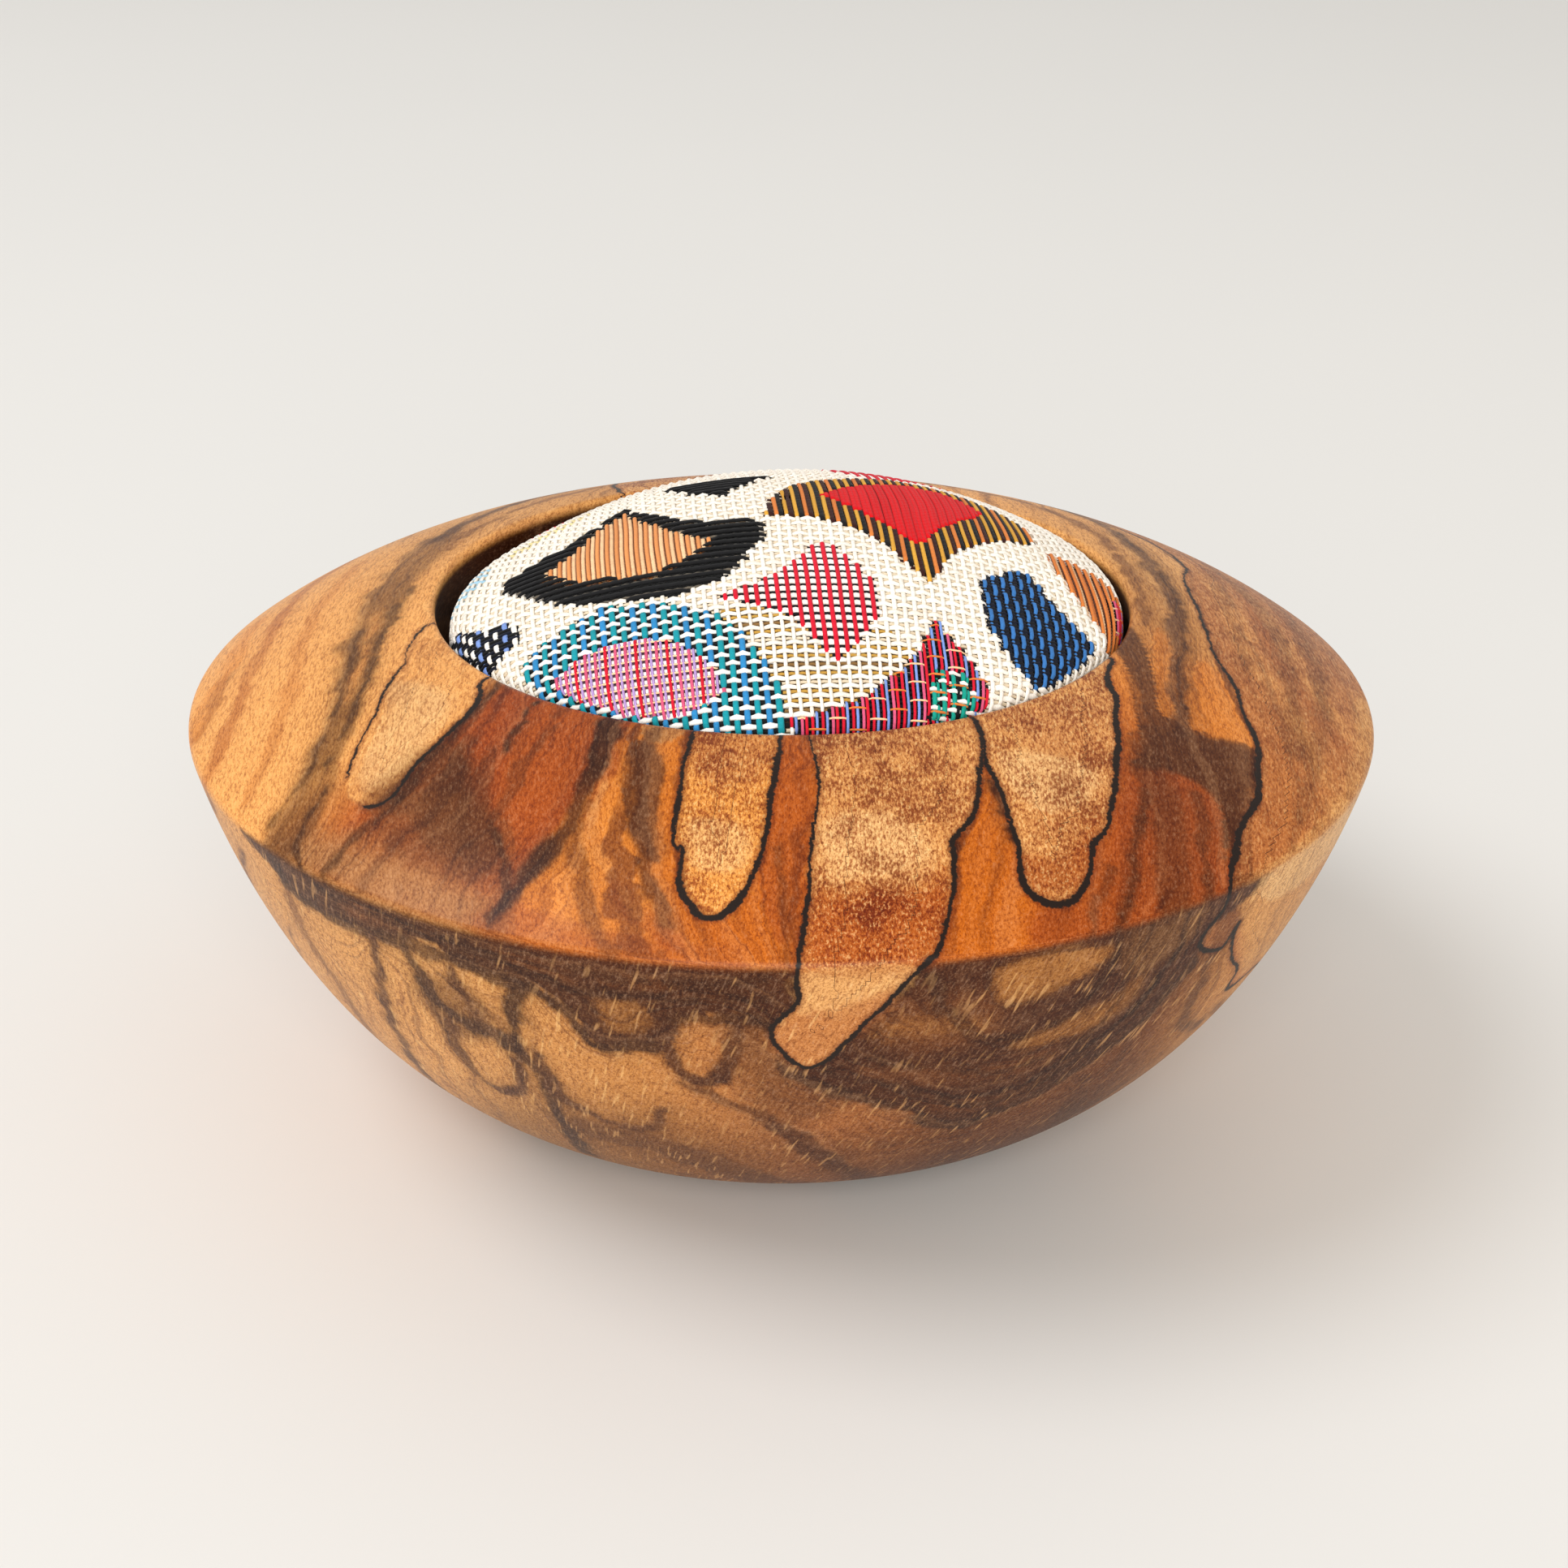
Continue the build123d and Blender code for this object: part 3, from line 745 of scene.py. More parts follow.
def growth_field(points, guides):
    """A smooth number over the bowl that is constant along each guide line."""
    knots, values = [], []
    for value, places in guides:
        line = spline(unrolled(places), 3)
        knots.append(bowl_place(line[:, 0], line[:, 1]))
        values.append(np.full(len(line), float(value)))
    knots, values = np.vstack(knots), np.concatenate(values)
    count = len(knots)
    gaps = np.linalg.norm(knots[:, None] - knots[None], axis=2)
    flat = np.column_stack([np.ones(count), knots / 50])
    system = np.block([[gaps - 0.5 * np.eye(count), flat], [flat.T, np.zeros((4, 4))]])
    weights = np.linalg.solve(system, np.concatenate([values, np.zeros(4)]))
    result = np.empty(len(points))
    for start in range(0, len(points), 20000):
        part = points[start : start + 20000]
        squares = (part**2).sum(1)[:, None] + (knots**2).sum(1)[None] - 2 * part @ knots.T
        plane = np.column_stack([np.ones(len(part)), part / 50])
        reach = np.sqrt(np.maximum(squares, 0))
        result[start : start + 20000] = reach @ weights[:count] + plane @ weights[count:]
    return result


# Smooth noise that makes painted edges and zone lines ragged: wave length, first seed and size.
EDGE_JITTER = ((2.4, 1, 0.3), (7.0, 4, 0.42), (1.1, 7, 0.13))
ZONE_JITTER = ((2.8, 11, 0.14),)


def shaken(points, layers):
    """Points moved by layers of smooth noise."""
    shift = np.zeros_like(points)
    for length, seed, size in layers:
        shift += np.column_stack([waves(points, length, seed + k) for k in range(3)]) * size
    return points + shift


def paint_wood(points, azimuth, s):
    """Colour of each point of the bowl's surface before its fine figure."""
    moved = shaken(points, EDGE_JITTER)
    below = smooth(s, 25.6, 26.8)[:, None]
    colour = blended_ground(azimuth, GROUND_ABOVE) * (1 - below)
    colour += blended_ground(azimuth, GROUND_BELOW) * below

    def lay(name, share):
        nonlocal colour
        share = share[:, None]
        colour = colour * (1 - share) + np.array(srgb(WOOD[name])) * share

    def lay_area(name, softness, strength, outline):
        gap = signed_distance(moved, azimuth, s, outline, max(3.0, softness * 1.5))
        lay(name, strength * smooth(gap, softness / 2, -softness / 2))

    for area in AREAS_UNDER:
        lay_area(*area)
    layer = signed_distance(moved, azimuth, s, UNDER_LAYER)
    lay("layer", 0.94 * smooth(layer, 0.3, -0.5) * smooth(s, 25.9, 26.7))
    for patch in LAYER_PATCHES:
        lay_area(*patch)
    for name, half, strength, places in STREAKS:
        gap = line_distance(moved, places, half * 4 + 1.6)
        swell = waves(points, 9.0, int(half * 100) + len(places)) + 0.5 * waves(points, 3.6, len(places))
        thickness = half * np.clip(1 + 0.34 * swell, 0.35, 1.8)
        fade = np.clip(0.92 + 0.16 * waves(points, 6.0, len(places) + 40), 0, 1 / max(strength, 0.1))
        lay(name, 0.22 * strength * smooth(gap, thickness * 2.4 + 1.0, thickness * 0.8))
        lay(name, strength * fade * smooth(gap, thickness * 1.25 + 0.15, thickness * 0.7))
    for area in AREAS_OVER:
        lay_area(*area)
    return colour


SPECKLE_STRENGTHS = (
    (TONGUE_LEFT, 0.3), (TONGUE_ONE, 1.0), (TONGUE_TWO, 1.0), (TONGUE_THREE, 1.0), (PALE_REAR, 1.0),
    (PALE_RIGHT, 0.5),
)
FLECK_RADIUS = 52.0  # at which the ray flecks' spacing round the bowl is measured
FLECK_LEAN = 0.3  # how far the flecks lean for each unit of height


def make_bowl():
    """The bowl as a fine lathe-turned mesh that carries the wood's figure as attributes."""
    azimuths = np.concatenate(
        [np.linspace(-85, 85, 480, endpoint=False), np.linspace(85, 275, 210, endpoint=False)]
    )
    total = lengths(BOWL_PATH)[-1] - LIP_LENGTH
    foot = total - FOOT_RADIUS - 0.6
    # Where each stretch of rows starts, and how many rows it has: close together at the corners.
    stretches = (
        (2.0 - LIP_LENGTH, 16), (-20.5, 12), (-16.0, 20), (-1.5, 14), (1.5, 58), (25.0, 12), (27.5, 68),
        (58.0, 26), (foot - 1, 26), (foot + 8, 4), (total - 2, 1),
    )
    s_rows = np.concatenate(
        [np.linspace(a, b, n, endpoint=False) for (a, n), (b, _) in zip(stretches, stretches[1:])]
        + [[total - 2]]
    )
    section = at_length(BOWL_PATH, s_rows + LIP_LENGTH)
    columns = len(azimuths)
    points, fans = close_ends(lathe_points(section, azimuths), columns)
    azimuth = np.tile((azimuths + 180) % 360 - 180, len(s_rows))
    s = np.repeat(s_rows, columns)
    quads = band_faces(len(s_rows), columns)
    azimuth = np.append(azimuth, [0, 0])
    s = np.append(s, [s_rows[0], s_rows[-1]])
    bowl = make_piece("turned_bowl", points, quads, fans)
    figured = (s > -7) & (s < foot + 1)
    add_colour(bowl, "tint", painted_all(points, azimuth, s, figured))
    moved = shaken(points, ZONE_JITTER)
    zone_a, zone_b = np.full(len(s), 3.0), np.full(len(s), 3.0)
    shown = np.flatnonzero(figured)
    for zone, outlines in (
        (zone_a, (TONGUE_LEFT, TONGUE_ONE, TONGUE_THREE, PALE_REAR)),
        (zone_b, (TONGUE_TWO, PALE_RIGHT)),
    ):
        for outline in outlines:
            gap = signed_distance(moved[shown], azimuth[shown], s[shown], outline)
            zone[shown] = np.where(np.abs(gap) < np.abs(zone[shown]), gap, zone[shown])
    add_number(bowl, "zone_a", zone_a)
    add_number(bowl, "zone_b", zone_b)
    half = np.full(len(s), ZONE_HALF_WIDTH)
    for amount, reach, places in ZONE_WEIGHTS:
        half[shown] += amount * smooth(line_distance(points[shown], places, reach), reach, reach * 0.3)
    add_number(bowl, "zone_half", half + 0.05 * waves(points, 5.0, 21))
    above, below = growth_field(points, GUIDES_ABOVE), growth_field(points, GUIDES_BELOW)
    share = smooth(s, 25.9, 26.6)
    add_number(bowl, "growth", above * (1 - share) + below * share)
    even = np.zeros(len(s))
    gap = signed_distance(points[shown], azimuth[shown], s[shown], EVEN_WOOD, 6.0)
    even[shown] = smooth(gap, 2.0, -2.0)
    add_number(bowl, "even", even)
    speckled = np.zeros(len(s))
    for outline, strength in SPECKLE_STRENGTHS:
        gap = signed_distance(points[shown], azimuth[shown], s[shown], outline)
        speckled[shown] = np.maximum(speckled[shown], strength * smooth(gap, 0.2, -0.6))
    add_number(bowl, "closed", speckled)
    add_number(bowl, "speckle", speckled * smooth(s, 27.5, 25.5))
    add_number(bowl, "across", np.radians(azimuth) * FLECK_RADIUS + FLECK_LEAN * s)
    add_number(bowl, "down", s)
    add_number(bowl, "flecked", smooth(s, 25.8, 27.0) * smooth(np.abs(azimuth), 178, 168))
    dress(bowl, "bowl", "turned_wood", wood_material(), "bowl")


# Oil deepens the wood's colours: a power and a factor for red, green and blue.
OIL_DEPTH = (1.2, 1.22, 1.5)
OIL_TINT = (0.98, 0.95, 1.05)


def painted_all(points, azimuth, s, figured):
    """Painted colour on the outside; dark reddish-brown in the recess and under the foot, in the recess also
    painted shade.
    """
    colour = np.tile(np.array(srgb(WOOD["bark"])), (len(s), 1))
    painted = paint_wood(points[figured], azimuth[figured], s[figured])
    # The recess is painted dark from just inside the lip down: the wood's colour together with painted shade.
    fade = smooth(s[figured], -1.1, -0.1)[:, None]
    colour[figured] = colour[figured] * (1 - fade) + painted * fade
    return colour**OIL_DEPTH * OIL_TINT


def wood_material():
    """Oiled spalted wood: painted figure, growth lines, pores, ray flecks and black zone lines."""
    w = Shader("oiled_spalted_wood", Coat_Weight=0.12, Coat_Roughness=0.25, Specular_IOR_Level=0.12)
    place = w.point()
    drift = w.noise(place, 0.16, 3.0, 0.55)
    ripple = w.noise(place, 0.9, 2.0, 0.5)
    growth = w.math("MULTIPLY_ADD", drift, 3.2, w.number("growth"))
    growth = w.math("MULTIPLY_ADD", ripple, 0.35, growth)
    broad = w.line_noise(growth, 0.55, 2.0, 0.6)
    fine = w.line_noise(growth, 2.0, 3.0, 0.7)
    patchy = w.noise(place, 0.08, 2.0, 0.5)
    speckle = w.number("speckle")
    tint = w.colour("tint")

    calm = w.math("MULTIPLY_ADD", w.number("closed"), -0.85, 1.0)
    calm = w.math("MULTIPLY", calm, w.math("MULTIPLY_ADD", w.number("even"), -0.75, 1.0))
    dark_band = w.step(broad, 0.5, 0.74)
    dark_band = w.math("MULTIPLY", dark_band, w.step(patchy, 0.35, 0.65, 0.15, 0.65))
    dark_band = w.math("MULTIPLY", dark_band, calm)
    colour = w.shaded(dark_band, tint, "6c3c22")
    light_band = w.math("MULTIPLY", w.step(broad, 0.48, 0.3), w.math("MULTIPLY", calm, 0.2))
    colour = w.shaded(light_band, colour, "9a7250", "SCREEN")
    fine_share = w.step(w.noise(place, 0.11, 2.0, 0.5), 0.42, 0.62, 0.12, 0.5)
    fine_line = w.math("MULTIPLY", w.step(fine, 0.42, 0.72), w.math("MULTIPLY", calm, fine_share))
    colour = w.shaded(fine_line, colour, "8a5c3c")

    fibre = w.noise(w.point((4.6, 0.8, 4.6)), 1.0, 4.0, 0.72)
    grit = w.noise(w.point((7.0, 2.6, 7.0)), 1.0, 3.0, 0.7)
    colour = w.shaded(w.step(fibre, 0.46, 0.66, 0.0, 0.62), colour, "9c6c48")
    colour = w.shaded(w.step(fibre, 0.5, 0.3, 0.0, 0.36), colour, "8c7058", "SCREEN")
    colour = w.shaded(w.step(grit, 0.5, 0.7, 0.0, 0.5), colour, "946240")
    pores = w.noise(w.point((4.6, 1.2, 4.6)), 1.0, 3.0, 0.7)
    clouds = w.noise(place, 0.22, 3.0, 0.6)
    stain = w.math("MULTIPLY", w.step(clouds, 0.46, 0.66), w.math("MULTIPLY", speckle, 0.5))
    colour = w.shaded(stain, colour, "a8703f")
    dots = w.step(w.math("MULTIPLY_ADD", clouds, 0.3, pores), 0.62, 0.76)
    dots = w.math("MULTIPLY", dots, w.math("MULTIPLY", speckle, 0.8))
    colour = w.shaded(dots, colour, "a5683e")
    strokes = w.math("MULTIPLY", w.step(pores, 0.46, 0.32), w.math("MULTIPLY", speckle, 0.75))
    colour = w.shaded(strokes, colour, "b49464", "SCREEN")

    across, down = w.number("across"), w.number("down")
    strip = w.vector(w.math("MULTIPLY", across, 2.1), w.math("MULTIPLY", down, 0.3))
    flecks = w.noise(strip, 1.0, 1.0, 0.5)
    thicket = w.step(w.noise(place, 0.1, 2.0, 0.5), 0.4, 0.6, 0.35, 1.0)
    flecked = w.number("flecked")
    share = w.math("MULTIPLY", flecked, thicket)
    fleck = w.math("MULTIPLY", w.step(flecks, 0.6, 0.7, 0.0, 0.6), share)
    colour = w.shaded(fleck, colour, "c0905c", "SCREEN")
    hair = w.noise(w.vector(w.math("MULTIPLY", across, 3.4), w.math("MULTIPLY", down, 0.9)), 1.0, 3.0, 0.7)
    furrow = w.math("MULTIPLY", w.step(hair, 0.48, 0.34, 0.0, 0.55), flecked)
    colour = w.shaded(furrow, colour, "8c5a3c")
    ridge = w.math("MULTIPLY", w.step(hair, 0.52, 0.68, 0.0, 0.3), flecked)
    colour = w.shaded(ridge, colour, "9a7a62", "SCREEN")

    ragged = w.math("MULTIPLY_ADD", w.noise(place, 1.9, 4.0, 0.7), 0.7, -0.35)
    half = w.number("zone_half")
    for zone in ("zone_a", "zone_b"):
        gap = w.math("ABSOLUTE", w.math("ADD", w.number(zone), ragged))
        edge = w.math("SUBTRACT", gap, half)
        halo = w.step(edge, 0.55, 0.0, 0.0, 0.5)
        colour = w.shaded(halo, colour, "8a5634")
        colour = w.mix(w.step(edge, 0.09, -0.06), colour, "1e130d")

    turning = w.node("ShaderNodeTexWave", wave_type="RINGS", rings_direction="Z")
    w.feed(turning.inputs["Vector"], place)
    turning.inputs["Scale"].default_value = 0.9
    turning.inputs["Distortion"].default_value = 0.6
    height = w.math("MULTIPLY_ADD", fibre, 0.5, w.math("MULTIPLY", grit, 0.35))
    height = w.math("MULTIPLY_ADD", turning.outputs["Fac"], 0.08, height)
    w.bump(height, 0.035)
    return w.finish(colour, w.step(pores, 0.3, 0.7, 0.4, 0.5))


# ======== The cushion's form ========
DOME_SHOULDER_REACH = 2.19  # of the rounding between dome and side, along each
SLACK_AZIMUTH = -126  # the side of the cushion that has drawn away from the recess wall
SLACK_INWARD = 2.7
SUNKEN_AZIMUTH = -140
SUNKEN_DEPTH = 0.7


def cushion_path(inset, bottom, base_rounding):
    """Section of a form inset from the cushion's outer surface, from its crown to its base's middle."""
    side, crown = CUSHION_RADIUS - inset, DOME_RADIUS - inset
    centre = CUSHION_TOP - DOME_RADIUS
    angles = np.linspace(0, math.asin(side / crown), 240, endpoint=False)
    rim = (side, centre + math.sqrt(crown**2 - side**2))
    path = np.vstack(
        [
            np.column_stack([crown * np.sin(angles), centre + crown * np.cos(angles)]),
            straight(rim, (side, bottom)),
            straight((side, bottom), (0, bottom)),
            [(0, bottom)],
        ]
    )
    path = soften(path, rim, DOME_SHOULDER_REACH * (1 - inset / 4))
    return soften(path, (side, bottom), base_rounding)


def lobe(azimuth, middle, half_width):
    """1 at the middle azimuth, fading smoothly to 0 at half_width away."""
    turn = np.clip(np.abs((azimuth - middle + 180) % 360 - 180) / half_width, 0, 1)
    return np.cos(turn * math.pi / 2) ** 2


def settle(points):
    """Moves the cushion's points to its settled shape: slack and a little sunken at the left rear."""
    x, y, z = points.T
    azimuth = np.degrees(np.arctan2(x, -y))
    radius = np.maximum(np.hypot(x, y), 1e-6)
    high = smooth(z, FLOOR_HEIGHT + 6.5, MOUTH_HEIGHT - 2)
    inward = SLACK_INWARD * lobe(azimuth, SLACK_AZIMUTH, 72) * high * smooth(radius, 14, CUSHION_RADIUS)
    drop = SUNKEN_DEPTH * lobe(azimuth, SUNKEN_AZIMUTH, 95) * high * smooth(radius, 4, 27)
    drop += 0.06 * high * smooth(radius, 5, 15) * (1 + waves(points, 26, 31))
    share = 1 - inward / radius
    return np.column_stack([x * share, y * share, z - drop])


# ======== The tapestry's pattern, seen from above with x to the right and y to the back ========
DROP = (
    (-6, -18.7), (-4.5, -17.8), (-2, -16.5), (0, -14.5), (1.8, -12), (3, -10), (4.5, -10.2), (6, -11.8),
    (7.3, -13.5), (8.3, -15.5), (9, -18), (8.8, -20), (8, -22), (6.8, -24.3), (5.5, -25.8), (4.6, -26.5),
    (4, -25.5), (2.5, -23.5), (1, -21.3), (-1, -20.5), (-3, -19.5),
)
WEDGE = (
    (19, -10.2), (20.5, -9.5), (21.8, -7.5), (22.8, -6.8), (24, -7.5), (25.5, -10.2), (27.3, -12.8),
    (30, -15), (28.5, -18), (26.5, -21), (23.8, -24.5), (21.5, -22.3), (19.8, -19.8), (18.7, -17),
    (18.5, -14.5), (18.8, -12),
)
RING = (
    (-24, -22.5), (-22.5, -20.5), (-20.5, -18.8), (-17, -17.3), (-12.5, -17.6), (-9, -19), (-6, -20.7),
    (-3.8, -23), (-1.8, -26), (-0.3, -29), (0.4, -33), (0.5, -38), (-8, -39), (-16, -34), (-22, -28),
)
RING_CORE = (
    (-20.5, -25), (-19, -23.4), (-16, -22.5), (-12.5, -22.6), (-10, -23.5), (-8, -24.8), (-6, -27),
    (-5, -29.5), (-6.5, -30.8), (-10, -31.8), (-14, -31), (-18, -28),
)
KITE = (
    (-27.5, -5.8), (-24.5, -4.8), (-21, -3.2), (-18, -0.5), (-16, 3.5), (-14.5, 0.8), (-12.5, -1.5),
    (-9, -4.3), (-5.5, -5.3), (-2, -5.5), (-1.8, -9), (-2.8, -11.5), (-4.5, -14.5), (-6, -16),
    (-9.5, -17.7), (-14.5, -17), (-18.5, -16), (-21, -14.5), (-23.5, -12), (-26, -9.5), (-27, -8),
)
KITE_CORE = (
    (-23.2, -8.2), (-20.5, -6.2), (-19, -3.5), (-16.8, 0), (-15.5, 1), (-13.5, -2.5), (-11, -5.5),
    (-9, -7.5), (-6.6, -9), (-7.5, -10.5), (-10, -12.3), (-12, -13.5), (-16, -12.8), (-18.5, -12),
    (-20.5, -10.8),
)
ARCH = (
    (-1.7, -4.5), (-1.6, -2), (-0.8, 1), (1, 4.5), (3.5, 6.8), (7, 9.6), (11, 12.6), (15.5, 13), (19, 12),
    (22, 9.5), (24, 7), (24.7, 4), (24.5, 1), (21, -1.5), (18.5, -4.5), (16.5, -7), (15.5, -9.5),
    (14.8, -11.5), (13.6, -14), (12, -12), (10.5, -10), (8.5, -7.8), (6, -6), (3, -4.8),
)
ARCH_CORE = (
    (3.5, 1.5), (6, 4.5), (9, 7.8), (12.5, 10.4), (15.5, 10.8), (18, 9), (19.8, 6), (19, 3.3), (17, 0),
    (15, -3.2), (13.5, -6.8), (12.6, -8), (10.5, -5.5), (8, -2.8), (5.5, -0.7),
)
TRIANGLE = ((-12, 8.4), (-11, 6), (-9, 3.5), (-6, 1.2), (-5, 3.5), (-3, 6.5), (-1, 8.8), (-6, 8.9))
FAN = (
    (14.2, -19.3), (15.2, -21.5), (16.5, -23), (18, -25), (19, -27.5), (17, -31), (12, -35), (3, -37),
    (0.7, -32.4), (4, -31.5), (7, -30), (9, -28), (10.5, -26.5), (12.3, -24), (13.2, -21.5),
)
FAN_TIP = ((13.6, -25.6), (16.4, -25), (18, -28.5), (16, -31.5), (13, -31))
SHARD = (
    (25.5, 1), (28, 1.5), (31, 1.8), (33, 0), (35.5, -3), (35, -9), (33.4, -13.5), (31.5, -13.5),
    (30, -11), (27.5, -6.5), (26.3, -2.5),
)
SHARD_TIP = ((32, -3.4), (33, -2.4), (37, -3), (37, -10), (33.5, -9), (32.4, -6.5))
CHEQUER = (
    (-36, -9), (-31.8, -11), (-30, -12.5), (-28, -14), (-25.5, -14.5), (-24, -16.3), (-24.5, -18.2),
    (-26.5, -19.8), (-30, -22), (-36, -16),
)
HAZE = ((-38, -6), (-33, -5.5), (-30.5, -3), (-30, 1), (-31.5, 4), (-34, 7), (-38, 8))
STRAW = ((-29, 1), (-26, 3.5), (-21, 5.5), (-19, 7.5), (-24, 8.5), (-29, 5))


def placed(outline, turn, shift, scale=1.0):
    """An outline turned by degrees, scaled and shifted: the figures again on the far side."""
    points = np.array(outline) * scale
    c, s = math.cos(math.radians(turn)), math.sin(math.radians(turn))
    return np.column_stack([points[:, 0] * c - points[:, 1] * s, points[:, 0] * s + points[:, 1] * c]) + shift


# Regions in order; a later one lies over an earlier one.
REGIONS = (
    ("straw", STRAW), ("drop", placed(DROP, 180, (13, 0.5))), ("drop", DROP), ("wedge", WEDGE),
    ("ring", RING), ("ring_core", RING_CORE), ("kite", KITE), ("kite_core", KITE_CORE),
    ("arch", ARCH), ("arch_core", ARCH_CORE), ("kite", TRIANGLE), ("fan", FAN), ("fan_tip", FAN_TIP),
    ("shard", SHARD), ("fan", SHARD_TIP), ("chequer", CHEQUER), ("haze", HAZE),
    ("drop", placed(DROP, 200, (-18, 4))),
    ("ring", placed(RING, 165, (9, 5))),
    ("ring_core", placed(RING_CORE, 165, (9, 5))),
    ("kite", placed(KITE, 100, (-38, 42), 0.8)),
    ("kite_core", placed(KITE_CORE, 100, (-38, 42), 0.8)),
    ("shard", placed(SHARD, 60, (14, 10))),
)
YARNS = {
    "cream": "fdf7ec", "white": "fffcf6", "straw": "efe2a8", "stone": "e2d2b6", "ochre": "c59a45",
    "crimson": "d9122f", "scarlet": "dc0010", "rose": "dc5a80", "lavender": "b99ad6", "peach": "fad3a4",
    "apricot": "ea9a58", "orange": "e0823a", "gold": "e0a63a", "maroon": "35100b", "black": "101012",
    "grey": "6a6256", "teal": "159aa8", "blue": "2f8bc8", "azure": "3a78bd", "navy": "080f22",
    "periwinkle": "7c9ce0", "jade": "0f9f8c", "sky": "a8d4ec", "bronze": "8c6a3c",
}
# What shows of each strand in each region: colours in turn, width and rule.
WEAVES = {
    "ground": {"warp": ("cream", 0.44, "tabby"), "pick": ("cream", 0.68, "tabby"),
               "back": ("stone", 0.4, "low")},
    "edge": {"warp": ("cream", 0.34, "tabby"), "pick": ("cream", 0.56, "tabby"),
             "back": ("ochre stone ochre bronze ochre", 0.38, "low")},
    "straw": {"warp": ("cream", 0.38, "tabby"), "pick": ("straw", 0.6, "tabby"),
              "back": ("stone", 0.4, "low")},
    "haze": {"warp": ("cream", 0.38, "tabby"), "pick": ("sky", 0.6, "tabby"),
             "back": ("stone", 0.4, "low")},
    "drop": {"warp": ("crimson", 0.42, "over"), "pick": ("white", 0.74, "mid"),
             "back": ("black", 0.3, "low")},
    "ring": {"warp": ("teal blue teal teal blue", 0.56, "knot"), "pick": ("white", 0.62, "knot"),
             "back": ("black", 0.36, "low")},
    "ring_core": {"warp": ("rose rose crimson", 0.32, "over"), "second": ("lavender", 0.26, "over"),
                  "pick": ("white", 0.76, "mid"), "cross": ("peach", 0.2, "over")},
    "fan": {"warp": ("crimson crimson rose", 0.29, "over"),
            "second": ("periwinkle periwinkle crimson", 0.28, "over"), "pick": ("black", 0.46, "low"),
            "back": ("black", 0.4, "low"), "cross": ("orange peach", 0.22, "skip")},
    "fan_tip": {"warp": ("jade", 0.44, "knot"), "second": ("jade crimson black", 0.3, "float"),
                "pick": ("white", 0.5, "knot"), "back": ("black", 0.4, "low"),
                "cross": ("orange", 0.24, "skip")},
    "arch": {"warp": ("gold gold orange", 0.46, "over"), "second": ("maroon black", 0.54, "over"),
             "pick": ("maroon", 0.4, "low")},
    "arch_core": {"warp": ("scarlet", 0.56, "over"), "second": ("scarlet", 0.56, "over")},
    "kite": {"pick": ("black", 0.6, "over"), "back": ("grey black", 0.34, "low")},
    "kite_core": {"warp": ("apricot", 0.42, "over"), "second": ("peach", 0.6, "low")},
    "wedge": {"warp": ("azure", 0.46, "float"), "second": ("navy", 0.56, "low"), "pick": ("navy", 0.4, "low"),
              "back": ("black", 0.36, "low")},
    "chequer": {"warp": ("white periwinkle white", 0.56, "short"), "pick": ("navy", 0.5, "even"),
                "back": ("black", 0.46, "even")},
    "shard": {"warp": ("orange", 0.4, "over"), "second": ("peach orange", 0.6, "low")},
}
# Colour of the ground seen between the strands in each region: the cloth behind them, with painted shade
# between the strands.
GAP_CLOTH_AND_SHADE = {
    "ground": "c9b79c", "edge": "8a6f48", "straw": "c9b79c", "haze": "c9b79c", "drop": "200c0e",
    "ring": "101416", "ring_core": "a08090", "fan": "0c0b10", "fan_tip": "0c0b10", "arch": "1c0a08",
    "arch_core": "7c0308", "kite": "0c0c0d", "kite_core": "c98a5c", "wedge": "050810", "chequer": "080a12",
    "shard": "a9683c",
}
REGION_NAMES = list(WEAVES)

# ======== The woven net ========
WARP_PITCH = 0.97
PICK_PITCH = 0.525  # from one weft row to the next; rows are picks and back picks in turn
CLOTH_LEAN = math.radians(4.75)  # of the warp, turned against the clock
PICK_BEND = 0.003  # of the rows, as they run out from the middle
YARN_INSET = 0.32  # of the cloth's middle surface, inside the cushion's outer surface
YARN_RISE = 0.15  # of a strand that passes over, from the middle surface
YARN_SIDES = 6
YARN_TWIST = 2.6 * math.pi  # of the plies, in radians for each millimetre
NET_END_HEIGHT = FLOOR_HEIGHT + 2.4
COVER_PATH = cushion_path(0, FLOOR_HEIGHT, 2.5)
COVER_ALONG = lengths(COVER_PATH)
COVER_TANGENT = np.gradient(COVER_PATH, axis=0)
COVER_TANGENT /= np.linalg.norm(COVER_TANGENT, axis=1)[:, None]
DOME_LENGTH = np.interp(-MOUTH_HEIGHT, -COVER_PATH[:, 1], COVER_ALONG)
NET_LENGTH = np.interp(-NET_END_HEIGHT, -COVER_PATH[:, 1], COVER_ALONG)


def flat_place(across, along):
    """A place on the cloth, by strand counts in millimetres, as its offset from the cushion's crown."""
    shift = np.column_stack([across, along, np.zeros(len(across))])
    across = across + 0.1 * waves(shift, 11, 41)
    along = along + PICK_BEND * across**2 + 0.1 * waves(shift, 9, 42)
    c, s = math.cos(CLOTH_LEAN), math.sin(CLOTH_LEAN)
    return across * c - along * s, across * s + along * c


